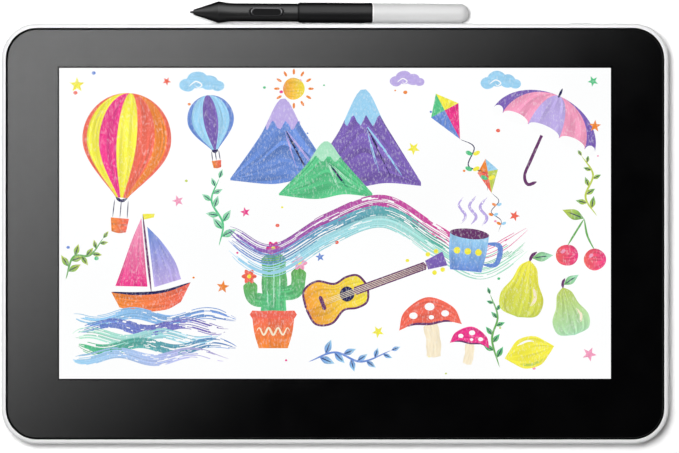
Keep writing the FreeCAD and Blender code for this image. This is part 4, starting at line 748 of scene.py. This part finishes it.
def paint(first, second, ink, level, to=None, streaks=12, dry=0.0, tone=0.10):
    """The area between two curves of equal count: point (u, v) = (1 - v) first(u) + v second(u), where each
    strip of v has one shade. ink turns to the ink to along u. dry is the share of strips that end early."""
    rng = np.random.default_rng(len(marks) + 11)
    steps = len(first)
    share = np.linspace(0, 1, streaks + 1)[None, :, None]
    grid = first[:, None] * (1 - share) + second[:, None] * share
    corner = np.arange(steps * (streaks + 1)).reshape(steps, streaks + 1)
    faces = np.stack([corner[:-1, :-1], corner[1:, :-1], corner[1:, 1:], corner[:-1, 1:]], -1)
    u = np.linspace(0, 1, steps - 1)[:, None]
    own = 1 + tone * (rng.random(streaks)[None, :] - 0.6)
    shade = own + 0.4 * tone * np.sin(9 * u + 6 * rng.random(streaks))
    start, end = (np.array(INKS[name]) for name in (ink, to or ink))
    colour = (start * (1 - u) + end * u)[:, None, :] * shade[..., None]
    ends = dry * rng.random((2, streaks)) ** 2
    wet = (u >= 0.6 * ends[0]) & (u <= 1 - ends[1])
    patchy = np.sin(31 * u + 17 * rng.random(streaks)) + np.sin(53 * u + 5 * rng.random(streaks))
    wet &= patchy < 2.1 - 2.2 * dry * u
    marks.append((grid.reshape(-1, 2), faces[wet], np.clip(colour[wet], 0, 1), level))


def brush(path, width, ink, level, taper=(0.25, 0.35), shake=0.05, streaks=3, **look):
    """A stroke along path. Its half width is width/2 times the root of the smaller of 1, u / taper at the
    start and (1 - u) / taper at the end, with a slow shake."""
    u = np.linspace(0, 1, len(path))
    ends = np.minimum(u / taper[0], (1 - u) / taper[1])
    half = width / 2 * np.sqrt(np.clip(ends, 0.004, 1)) * (1 + shake * np.sin(14 * u + len(marks)))
    along = np.gradient(path, axis=0)
    side = np.stack([-along[:, 1], along[:, 0]], 1) / np.linalg.norm(along, axis=1)[:, None]
    paint(path - side * half[:, None], path + side * half[:, None], ink, level, streaks=streaks, **look)


print("paint ready")

# %% [markdown]
# ### Spots
#
# Each thing on the sheet is drawn about its own middle, at its natural size. A Spot then grows, turns and
# moves whatever is drawn through it. A stroke is the area between its two edges, and a round blot is the
# area between its two halves.

# %% Spots
class Spot:
    """A place on the sheet. What is drawn about 0, 0 is grown by size, turned by degrees and moved to at. Its
    paint lies at level, raised by lift."""

    def __init__(self, at, size=1.0, turn=0.0, level=6):
        way = (math.cos(math.radians(turn)), math.sin(math.radians(turn)))
        self.spin = size * np.array([way, (-way[1], way[0])])
        self.at, self.size, self.turn, self.level = at, size, turn, level

    def place(self, points):
        """at + size times the points, turned."""
        return np.asarray(points, float) @ self.spin + self.at

    def curve(self, points, count=40):
        """A flow through points, in place."""
        return self.place(flow(points, count))

    def straight(self, start, end, count=40):
        """Evenly spaced points, in place."""
        return self.place(np.linspace(start, end, count))

    def fill(self, first, second, ink, lift=0, **look):
        """The area between two curves that are already in place."""
        paint(first, second, ink, self.level + lift, **look)

    def between(self, first, second, ink, lift=0, count=40, **look):
        """The area between two flows."""
        self.fill(self.curve(first, count), self.curve(second, count), ink, lift, **look)

    def stroke(self, points, width, ink, lift=0, count=40, **look):
        """A stroke that flows through points."""
        brush(self.curve(points, count), width * self.size, ink, self.level + lift, **look)

    def line(self, start, end, width, ink, lift=0, count=40, **look):
        """A straight stroke."""
        brush(self.straight(start, end, count), width * self.size, ink, self.level + lift, **look)

    def disc(self, middle, radii, ink, lift=0, turn=0.0, wobble=0.03, count=34, **look):
        """A round blot: x = a cos(s), y = +-b sin(s) (1 + wobble sin(3s + phase)), turned by degrees."""
        s = np.linspace(0, math.pi, count)
        bent = np.sin(s) * (1 + wobble * np.sin(3 * s + len(marks)))
        edge = self.size * np.stack([radii[0] * np.cos(s), radii[1] * bent], 1)
        own = Spot(self.place(middle), 1.0, turn)
        self.fill(own.place(edge * (1, -1)), own.place(edge), ink, lift, **look)


print("spots ready")

# %% [markdown]
# ### Balloons
#
# A balloon is a turned shape, so its panels are drawn as strips between two meridians, which look narrower
# towards the sides.

# %% Balloons
def meridians(spot, radius, height, panels):
    """The seams of a turned shape, seen from the side: x = sin(angle) radius, y = height."""
    angles = np.radians(np.linspace(-90, 90, panels + 1))
    return [spot.place(np.stack([math.sin(angle) * radius, height], 1)) for angle in angles]


def balloon(spot, inks):
    """Its outline over t, from 0 at the mouth to 1 at the top, is a dome sqrt(1 - f^2) over a tapered
    skirt. The ropes keep their width at any size."""
    t = np.sin(np.linspace(0, math.pi / 2, 40))
    widest = 0.56
    dome = np.sqrt(np.clip(1 - ((t - widest) / (1 - widest)) ** 2, 0, 1))
    skirt = 0.13 + 0.87 * np.sin(math.pi / 2 * np.minimum(t / widest, 1)) ** 1.1
    seams = meridians(spot, 19.5 * np.where(t > widest, dome, skirt), -20 + 46 * t, len(inks))
    for ink, left, right in zip(inks, seams, seams[1:]):
        spot.fill(left, right, ink, streaks=7, tone=0.22)
    for side in (-1, 0, 1):
        spot.line((3.0 * side, -21), (3.2 * side, -29), 0.5 / spot.size, "navy", count=12, streaks=2)
    base = spot.curve([(-3.2, -35), (0, -35.6), (3.2, -35)], 12)
    spot.fill(spot.straight((-4, -29), (4, -29), 12), base, "orange", 1, to="coral", streaks=8, tone=0.3)
    spot.stroke([(-2.6, -20), (0, -21.4), (2.6, -20)], 1.6 / spot.size, "navy", 1, 12)


balloon(Spot((-112, 38), 1.22, -5), ["coral", "yellow", "magenta", "yellow", "coral", "orange", "coral"])
balloon(Spot((-66, 52), 0.64, 8), ["periwinkle", "sky", "purple", "sky", "periwinkle"])
print("marks:", len(marks))

# %% [markdown]
# ### Umbrella and kites
#
# An umbrella is the upper part of a turned shape too. White blots under its panels make the scalloped
# hem. A kite is four triangles round a middle that isn't halfway down, with a knotted tail.

# %% Umbrella and kites
def umbrella(spot, inks):
    """Its outline has radius 27 sin(t) and height 20 cos(t)."""
    t = np.linspace(0, 1.5, 30)
    seams = meridians(spot, 27 * np.sin(t), 20 * np.cos(t), len(inks))
    hem = 27 * np.sin(np.radians(np.linspace(-90, 90, len(inks) + 1)))
    for number, ink in enumerate(inks):
        spot.fill(seams[number], seams[number + 1], ink, streaks=8, tone=0.2)
        start, end = hem[number:number + 2]
        spot.disc(((start + end) / 2, 1.6), (0.48 * (end - start), 2.6), "paper", 1, spot.turn, wobble=0,
                  streaks=3, tone=0)
    spot.line((0, 19), (0, 24), 1.2, "navy", 1, 8)
    handle = [(0, 4), (0, -14), (0.3, -22), (3.5, -25.5), (7, -22.5)]
    spot.stroke(handle, 1.5, "plum", taper=(0.02, 0.05), streaks=4)


def kite(spot, inks):
    """Each triangle is the area between two lines from the middle to neighbouring corners."""
    top, left, right, bottom, middle = (0, 14), (-9, 3), (9, 3), (0, -16), (0, 3)
    for ink, (a, b) in zip(inks, ((top, left), (right, top), (left, bottom), (bottom, right))):
        spot.fill(spot.straight(middle, a, 16), spot.straight(middle, b, 16), ink, tone=0.2)
    tail = [(0, -16), (5, -24), (-3, -32), (4, -41), (0, -50)]
    spot.stroke(tail, 0.7, "navy", streaks=2)
    for knot in spot.curve(tail)[[12, 22, 32]]:
        for side, ink in ((-1, inks[0]), (1, inks[1])):
            Spot(knot, spot.size).disc((side * 2.2, 0), (2.1, 1.2), ink, 1, 25 * side)


umbrella(Spot((111, 48), 1.1, -24), ["purple", "pink", "lilac", "pink", "purple"])
kite(Spot((60, 58), 0.92, 28), ["teal", "yellow", "periwinkle", "magenta"])
kite(Spot((82, 26), 0.62, 10), ["orange", "sky", "coral", "lime"])
print("marks:", len(marks))

# %% [markdown]
# ### Land and water
#
# Peaks are the area between a ridge line and a foot line. The sun is a disc with short rays. The sea is a
# few long dry strokes, one above the other, each a sine wave with its own phase. The boat's sails are the
# area between the mast and their outer edge.

# %% Mountains, sun, sea and boat
SEA = (("sky", "periwinkle"), ("periwinkle", "purple"), ("mint", "sky"), ("teal", "periwinkle"),
       ("sky", "lilac"))


def peak(spot, width, height, ink, cap):
    """The cap is what lies above 0.66 of the height, over a hem that waves with sin(0.9 x)."""
    ridge = flow(np.array([(-0.5, 0), (-0.22, 0.52), (0, 1), (0.2, 0.6), (0.5, 0)]) * (width, height))
    foot = flow(np.array([(-0.5, -1), (-0.1, -3), (0.2, -0.5), (0.5, -2)]) * (width, 1))
    spot.fill(spot.place(foot), spot.place(ridge), ink, streaks=20, tone=0.3)
    top = ridge[ridge[:, 1] > 0.66 * height]
    hem = np.stack([top[:, 0], 0.66 * height + 0.06 * height * np.sin(0.9 * top[:, 0])], 1)
    spot.fill(spot.place(hem), spot.place(top), cap, 1, streaks=8, tone=0.06)
    for share in (0.3, 0.5, 0.7):
        slope = [(0.02 * width, 0.62 * height), (share * 0.3 * width, 0.3 * height), (share * 0.5 * width, 2)]
        spot.stroke(slope, 1.1, "navy" if share == 0.5 else cap, 1, 20, dry=0.6, streaks=4)


def sun(spot):
    spot.disc((0, 0), (1, 1), "yellow", to="orange", streaks=18, tone=0.16)
    for angle in np.radians(np.arange(0, 360, 30)):
        way = np.array([math.cos(angle), math.sin(angle)])
        spot.line(1.3 * way, 1.85 * way, 0.22, "orange", count=10)


def boat(spot):
    deck = [(-17, 0), (-6, -1.6), (6, -1.6), (18, 1.2)]
    keel = [(-14, -7), (-6, -9.6), (6, -9.8), (13, -7)]
    spot.between(deck, keel, "orange", to="coral", tone=0.25)
    spot.stroke(deck, 1.3, "navy", 1)
    spot.line((0.5, -2), (-0.3, 33), 1.0, "plum", 1, 20)
    main = spot.curve([(-15, 2.5), (-11, 11), (-6, 22), (-1.2, 31)], 30)
    spot.fill(spot.straight((-1, 1), (-1, 31), 30), main, "magenta", to="pink", streaks=16, tone=0.2)
    jib = spot.curve([(14, 3), (12, 11), (7, 20), (1.4, 27)], 30)
    spot.fill(spot.straight((2, 0.5), (1.2, 27), 30), jib, "lilac", to="periwinkle", streaks=14, tone=0.2)
    flag = spot.straight((5, 32.6), (4.4, 31), 10)
    spot.fill(spot.straight((-0.3, 33), (-0.3, 30.4), 10), flag, "yellow")


peak(Spot((-28, 24), level=2), 56, 43, "periwinkle", "lilac")
peak(Spot((15, 22), level=4), 62, 50, "purple", "sky")
peak(Spot((-5, 16), level=7), 50, 28, "teal", "mint")
sun(Spot((-22, 72), 5.8, level=1))
for row, (ink, to) in enumerate(SEA):
    x = np.linspace(-141 + 3 * (row % 2), -52 - 4 * (row % 3), 90)
    wave = np.stack([x, -50 - 5.3 * row + 2.0 * np.sin(0.16 * x + 1.9 * row)], 1)
    brush(wave, 6.0, ink, 12 + row, to=to, taper=(0.06, 0.12), dry=0.55, streaks=14, tone=0.3)
boat(Spot((-99, -35), 1.22, 5, level=10))
print("marks:", len(marks))

# %% [markdown]
# ### Cactus and mushrooms
#
# The limbs of a cactus are thick round-ended strokes, with thin dry ones for ribs. Its flowers are long
# blots laid across each other. A mushroom's hat is the area between a high curve and a nearly flat one.

# %% Cactus and mushrooms
def cactus(spot):
    limbs = ([(0, 0), (0.5, 14), (0, 29)], [(1, 10), (10, 12), (11.5, 22)], [(-1, 7), (-9, 8.5), (-10.5, 16)])
    for limb, wide in zip(limbs, (11, 6.5, 6)):
        spot.stroke(limb, wide, "teal", taper=(0.04, 0.12), to="leaf", streaks=12, tone=0.28)
    for side in (-2.4, 0.2, 2.6):
        spot.stroke([(side, 3), (side * 1.1, 15), (side, 27)], 0.6, "mint", 1, 30, dry=0.7)
    for middle, ink in (((0, 30.5), "magenta"), ((11.8, 24), "pink"), ((-10.8, 18), "coral")):
        for angle in (0, 60, 120):
            spot.disc(middle, (3.4, 1.3), ink, 2, angle, streaks=5, tone=0.3)
        spot.disc(middle, (0.9, 0.9), "yellow", 3, streaks=3)
    pot = [[(side * 9.5, 1), (side * 8.5, -7), (side * 6.5, -14)] for side in (-1, 1)]
    spot.between(*pot, "coral", 2, 24, to="orange", streaks=16, tone=0.2)
    spot.line((-10.5, 1), (10.5, 1), 3.4, "coral", 3, 20, taper=(0.02, 0.02), streaks=8)
    zigzag = np.stack([np.linspace(-7.4, 7.4, 40), -6.5 + 1.6 * np.sin(np.linspace(0, 22, 40))], 1)
    brush(spot.place(zigzag), 0.9 * spot.size, "cream", spot.level + 4)


def mushroom(spot, ink):
    spot.stroke([(0, -13), (0.6, -6), (0, 1)], 6, "cream", 0, 24, taper=(0.03, 0.01), streaks=9)
    crown = [(-13, -0.5), (-10, 7), (0, 12), (10, 7), (13, -0.5)]
    hem = [(-13, -0.5), (-6, 1.6), (0, 1.0), (6, 1.6), (13, -0.5)]
    spot.between(hem, crown, ink, 1, streaks=14, tone=0.25)
    for x, y, r in ((-6.5, 5, 1.7), (0.5, 8, 2.0), (6.6, 4.6, 1.6), (0.8, 3.6, 1.1)):
        spot.disc((x, y), (r, 0.8 * r), "paper", 2, streaks=4, tone=0.03)
    rib = [(-11, 0.5), (-6, 1.5), (0, 0.9), (6, 1.5), (11, 0.5)]
    spot.stroke(rib, 1.0, "plum", 2, 24, dry=0.2)


cactus(Spot((-33, -50), 1.2))
mushroom(Spot((51, -55), 1.3, 6), "coral")
mushroom(Spot((72, -65), 0.82, -8, level=10), "magenta")
print("marks:", len(marks))

# %% [markdown]
# ### Fruit
#
# A fruit is symmetric, so one side is given as points and the other is its mirror image. It has a light
# streak where the lamp shines on it. A leaf is the area between two arcs that meet at both ends.

# %% Fruit
def leaf(spot, ink, to):
    """Its length is the spot's size. The vein keeps its width."""
    arcs = [[(0, 0), (0.45, bulge), (1, 0)] for bulge in (-0.22, 0.22)]
    spot.between(*arcs, ink, 0, 18, to=to, streaks=8, tone=0.25)
    spot.line((0.05, 0), (0.85, 0), 0.5 / spot.size, "navy", 1, 10, dry=0.2, streaks=2)


def pear(spot, ink, to):
    side = np.array([(0, -12), (7.5, -10), (9, -3.5), (5.6, 3), (3.6, 9), (0, 12)])
    spot.between(side * (-1, 1), side, ink, to=to, streaks=18, tone=0.22)
    spot.stroke([(0, 11.5), (0.5, 14), (2.2, 16)], 1.3, "plum", 1, 12)
    leaf(Spot(spot.place((0.6, 13)), 9 * spot.size, spot.turn + 20, spot.level + 1), "leaf", "mint")
    spot.stroke([(4, -7), (5.4, -3), (3.4, 2)], 1.3, "cream", 1, 14, dry=0.4, streaks=4)


def cherries(spot):
    for x, y in ((-6, -7), (7, -9)):
        spot.stroke([(2, 10), (x * 0.5, 2), (x, y + 4)], 0.9, "leaf", 0, 20)
        spot.disc((x, y), (5.2, 5.0), "magenta", 1, to="coral", streaks=14, tone=0.25)
        spot.disc((x - 1.8, y + 1.8), (1.2, 0.8), "pink", 2, 40, streaks=4)
    leaf(Spot(spot.place((2, 10)), 11 * spot.size, 158, spot.level + 2), "leaf", "lime")


def lemon(spot):
    side = np.array([(-13, 0), (-9.5, 3.4), (-4, 7.6), (4, 7.6), (9.5, 3.4), (13, 0)])
    spot.between(side * (1, -1), side, "yellow", streaks=16, tone=0.16)
    spot.stroke([(-6, 4.4), (0, 5.8), (6, 4.4)], 1.0, "paper", 1, 16, dry=0.4, tone=0.02)
    spot.stroke([(-7, -4.6), (0, -6.4), (7, -4.6)], 1.3, "lime", 1, 16, dry=0.4, streaks=4)


pear(Spot((101, -35), 1.3, -12), "lime", "yellow")
pear(Spot((125, -47), 1.1, 14, level=10), "mint", "lime")
lemon(Spot((104, -69), 1.05, 14))
cherries(Spot((131, -9), 1.15))
print("marks:", len(marks))

# %% [markdown]
# ### Sprigs
#
# Sprigs fill the gaps between the larger things. A sprig is a thin stem with leaves by turns on both
# sides, which get shorter towards the tip, and one leaf at its end.

# %% Sprigs
SPRIG_LEVEL = 3
LEAF_ANGLE = 48


def sprig(points, ink, to, leaves=9, length=8.0):
    """Leaf k is length (1 - 0.45 k / leaves) long, and stands LEAF_ANGLE off the stem's own way."""
    stem = flow(points)
    brush(stem, 1.1, ink, SPRIG_LEVEL)
    way = np.degrees(np.arctan2(*np.gradient(stem, axis=0).T[::-1]))
    for number in range(leaves):
        index = 5 + number * (len(stem) - 6) // leaves
        turn = way[index] + (LEAF_ANGLE if number % 2 else -LEAF_ANGLE)
        leaf(Spot(stem[index], length * (1 - 0.45 * number / leaves), turn, SPRIG_LEVEL + 1), ink, to)
    leaf(Spot(stem[-1], 0.6 * length, way[-1], SPRIG_LEVEL + 1), ink, to)


sprig([(-144, -30), (-140, -18), (-131, -17), (-124, -8)], "leaf", "lime")
sprig([(-62, -12), (-60, 0), (-66, 12), (-62, 24)], "teal", "mint", leaves=8, length=9)
sprig([(88, -77), (84, -62), (87, -50), (83, -38)], "leaf", "teal", leaves=8, length=7)
sprig([(140, 4), (134, 14), (138, 26), (132, 36)], "lime", "leaf", leaves=7, length=7)
sprig([(-14, -74), (0, -69), (14, -74), (30, -68)], "periwinkle", "sky", length=9)
print("marks:", len(marks))

# %% [markdown]
# ### Things from the house
#
# A small four-stringed guitar lies across the middle, a mug steams beside it, and long ribbons tie the
# sheet together.

# %% Ribbons, guitar and mug
RIBBON = np.array([(-58, -2), (-34, -14), (-4, 2), (26, 12), (54, -4), (78, -16), (104, -2)])


def guitar(spot):
    side = np.array([(-22, 0), (-20, 9), (-12, 11.5), (-4, 7.2), (3, 8.4), (9, 7), (12, 0)])
    spot.between(side * (1, -1), side, "orange", 0, 60, to="yellow", streaks=22, tone=0.22)
    for rim in (side, side * (1, -1)):
        spot.stroke(rim, 1.1, "plum", 1, 50, taper=(0.02, 0.02))
    spot.disc((0.5, 0), (3.8, 3.8), "navy", 2, streaks=8)
    spot.line((4, 0), (44, 0), 4.2, "plum", 3, taper=(0.01, 0.01), shake=0, streaks=6)
    head = [spot.straight((44, 2.4 * edge), (54, 3.8 * edge), 14) for edge in (1, -1)]
    spot.fill(*head, "purple", 3)
    spot.line((-13, -4), (-13, 4), 2.0, "plum", 3, 10, taper=(0.05, 0.05), streaks=4)
    for string in (-1.2, -0.4, 0.4, 1.2):
        spot.line((-13, string), (46, string), 0.28, "cream", 4, 30, shake=0, streaks=1)
    for peg in (46.5, 51):
        for edge in (-1, 1):
            spot.disc((peg, edge * 5), (1.2, 1.2), "yellow", 4, streaks=3)


def mug(spot):
    spot.stroke([(9, 5), (16, 4), (15, -5), (8, -6)], 2.6, "periwinkle", streaks=6)
    sides = [[(10 * side, 9), (9.6 * side, 0), (8 * side, -10)] for side in (-1, 1)]
    spot.between(*sides, "sky", 1, 24, to="periwinkle", streaks=18, tone=0.22)
    spot.disc((0, 9), (10, 2.6), "plum", 2, spot.turn, streaks=6)
    for x in (-5.5, 0, 5.5):
        spot.disc((x, 0), (1.7, 1.7), "yellow", 3, streaks=5)
        wisp = [(x, 13), (x + 2.4, 18), (x - 1.6, 23), (x + 1.8, 29)]
        spot.stroke(wisp, 1.5, "lilac", 0, 26, dry=0.5, streaks=5)


for row, (ink, to) in enumerate((("purple", "magenta"), ("periwinkle", "teal"), ("sky", "mint"))):
    brush(flow(RIBBON + (0, -5.6 * row), 110), 6.6, ink, 12 + row, to=to, taper=(0.05, 0.08), dry=0.65,
          streaks=18, tone=0.3)
guitar(Spot((6, -38), 1.04, 20, level=16))
mug(Spot((71, -15), 1.05, -6, level=16))
print("marks:", len(marks))

# %% [markdown]
# ### Filler
#
# Clouds, stars and dots fill the gaps, as they do in a sketchbook. A star is five kites round its middle,
# each from one dent over a point to the next dent. The dots are thrown over the sheet at random, with a
# fixed seed, so they fall the same way in each run.

# %% Clouds, stars and dots
STARS = (
    (-138, 74, 4.2, "yellow"), (-84, 12, 3.2, "pink"), (42, 40, 3.6, "yellow"), (96, 4, 3.0, "coral"),
    (139, 52, 3.4, "orange"), (-48, 6, 2.8, "magenta"), (23, -58, 3.4, "yellow"), (136, -70, 4.0, "pink"),
    (-60, -34, 3.6, "orange"), (-8, -18, 2.6, "periwinkle"), (138, 76, 3.0, "teal"),
    (-90, 76, 2.4, "coral"),
)
STAR_DENT, STAR_TURN = 0.42, 17.0
DOTS, DOT_SEED, DOT_REACH = 46, 5, 0.97
DOT_INKS = ("coral", "yellow", "teal", "magenta", "periwinkle", "orange", "pink", "lime")


def cloud(spot, ink):
    for lift, (x, y, r) in enumerate(((-9, 0, 5.5), (-2, 3.4, 7.2), (6, 1.6, 6.2), (12, -0.6, 4.4))):
        spot.disc((x, y), (r, 0.82 * r), ink, lift)
    spot.stroke([(-8, -1), (-3, 2.4), (1, 0), (-1.6, -2), (-3.4, -0.2)], 0.9, "paper", 5, tone=0.02)


def star(spot, ink):
    """Corner k lies at 90 + 36 k degrees: a point, 1 out, if k is even, and otherwise a dent."""
    angle = np.radians(90 + 36 * np.arange(10))
    tip = np.where(np.arange(10) % 2, STAR_DENT, 1.0)[:, None] * np.stack([np.cos(angle), np.sin(angle)], 1)
    for point in range(0, 10, 2):
        first, second = spot.straight((0, 0), tip[point - 1], 6), spot.straight(tip[point + 1], tip[point], 6)
        spot.fill(first, second, ink, streaks=5, tone=0.2)


cloud(Spot((-72, 74), 0.78, level=2), "sky")
cloud(Spot((38, 76), 0.6, level=2), "lilac")
cloud(Spot((88, 75), 0.7, level=2), "sky")
for number, (x, y, size, ink) in enumerate(STARS):
    star(Spot((x, y), size, STAR_TURN * number, level=8), ink)
rng = np.random.default_rng(DOT_SEED)
for number, middle in enumerate(rng.uniform(-DOT_REACH, DOT_REACH, (DOTS, 2)) * SHEET_HALF):
    dot = Spot(middle, 0.5 + 0.7 * rng.random(), level=0)
    dot.disc((0, 0), (1, 0.85), DOT_INKS[number % len(DOT_INKS)], count=10, streaks=4)
print("marks:", len(marks))

# %% [markdown]
# ### From marks to one mesh
#
# All the paint becomes one mesh. Its colours are kept on the face corners, so neighbouring streaks don't
# blend. The ink gives off light, as the screen's face does, and a chalky grain lets a little of the white
# sheet through where the brush was almost dry.

# %% Picture mesh
def picture_piece(name):
    """All marks as one piece, cut to the sheet, each at its own level, and every face upward."""
    screen_low, screen_high = (np.array(corner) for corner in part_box("lcd_cell"))
    sheet_middle, sheet_level = (screen_low + screen_high)[:2] / 2, screen_high[2] + ABOVE_SCREEN
    points, faces, colours, count = [], [], [], 0
    for spots, quads, shades, level in marks:
        inside = np.clip(spots, -np.array(SHEET_HALF), SHEET_HALF) / 1000 + sheet_middle
        points.append(np.column_stack([inside, np.full(len(spots), sheet_level + level * LEVEL_STEP)]))
        faces.append(quads + count)
        colours.append(shades)
        count += len(spots)
    points, faces, colours = (np.concatenate(part) for part in (points, faces, colours))
    a, b, c = (points[faces[:, corner]] for corner in (0, 1, 2))
    turned = np.cross(b - a, c - a)[:, 2] < 0
    faces[turned] = faces[turned][:, ::-1]
    piece = new_piece(name, points, faces, smooth=False)
    layer = piece.data.color_attributes.new("ink", "FLOAT_COLOR", "CORNER")
    corners = np.concatenate([np.repeat(colours, 4, axis=0), np.ones((4 * len(colours), 1))], 1)
    layer.data.foreach_set("color", corners.ravel())
    return piece


picture = picture_piece("screen_picture")
material = bpy.data.materials.new("screen_paint")
tree = empty_tree(material)
ink = add(tree, "VertexColor", {"layer_name": "ink"}).outputs["Color"]
chalk = between(tree, noise(tree, 0.0007, 3.0, (1.0, 0.45, 1.0)), 0.0, 0.32, 0.52, 0.72)
shown = add(tree, "Emission", Color=mixed(tree, chalk, ink, WHITE))
add(tree, "OutputMaterial", Surface=shown.outputs[0])
picture.data.materials.append(material)
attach(picture, "tablet")
print("faces:", len(picture.data.polygons))


print("dressed:", len(frame["nodes"]), "nodes")
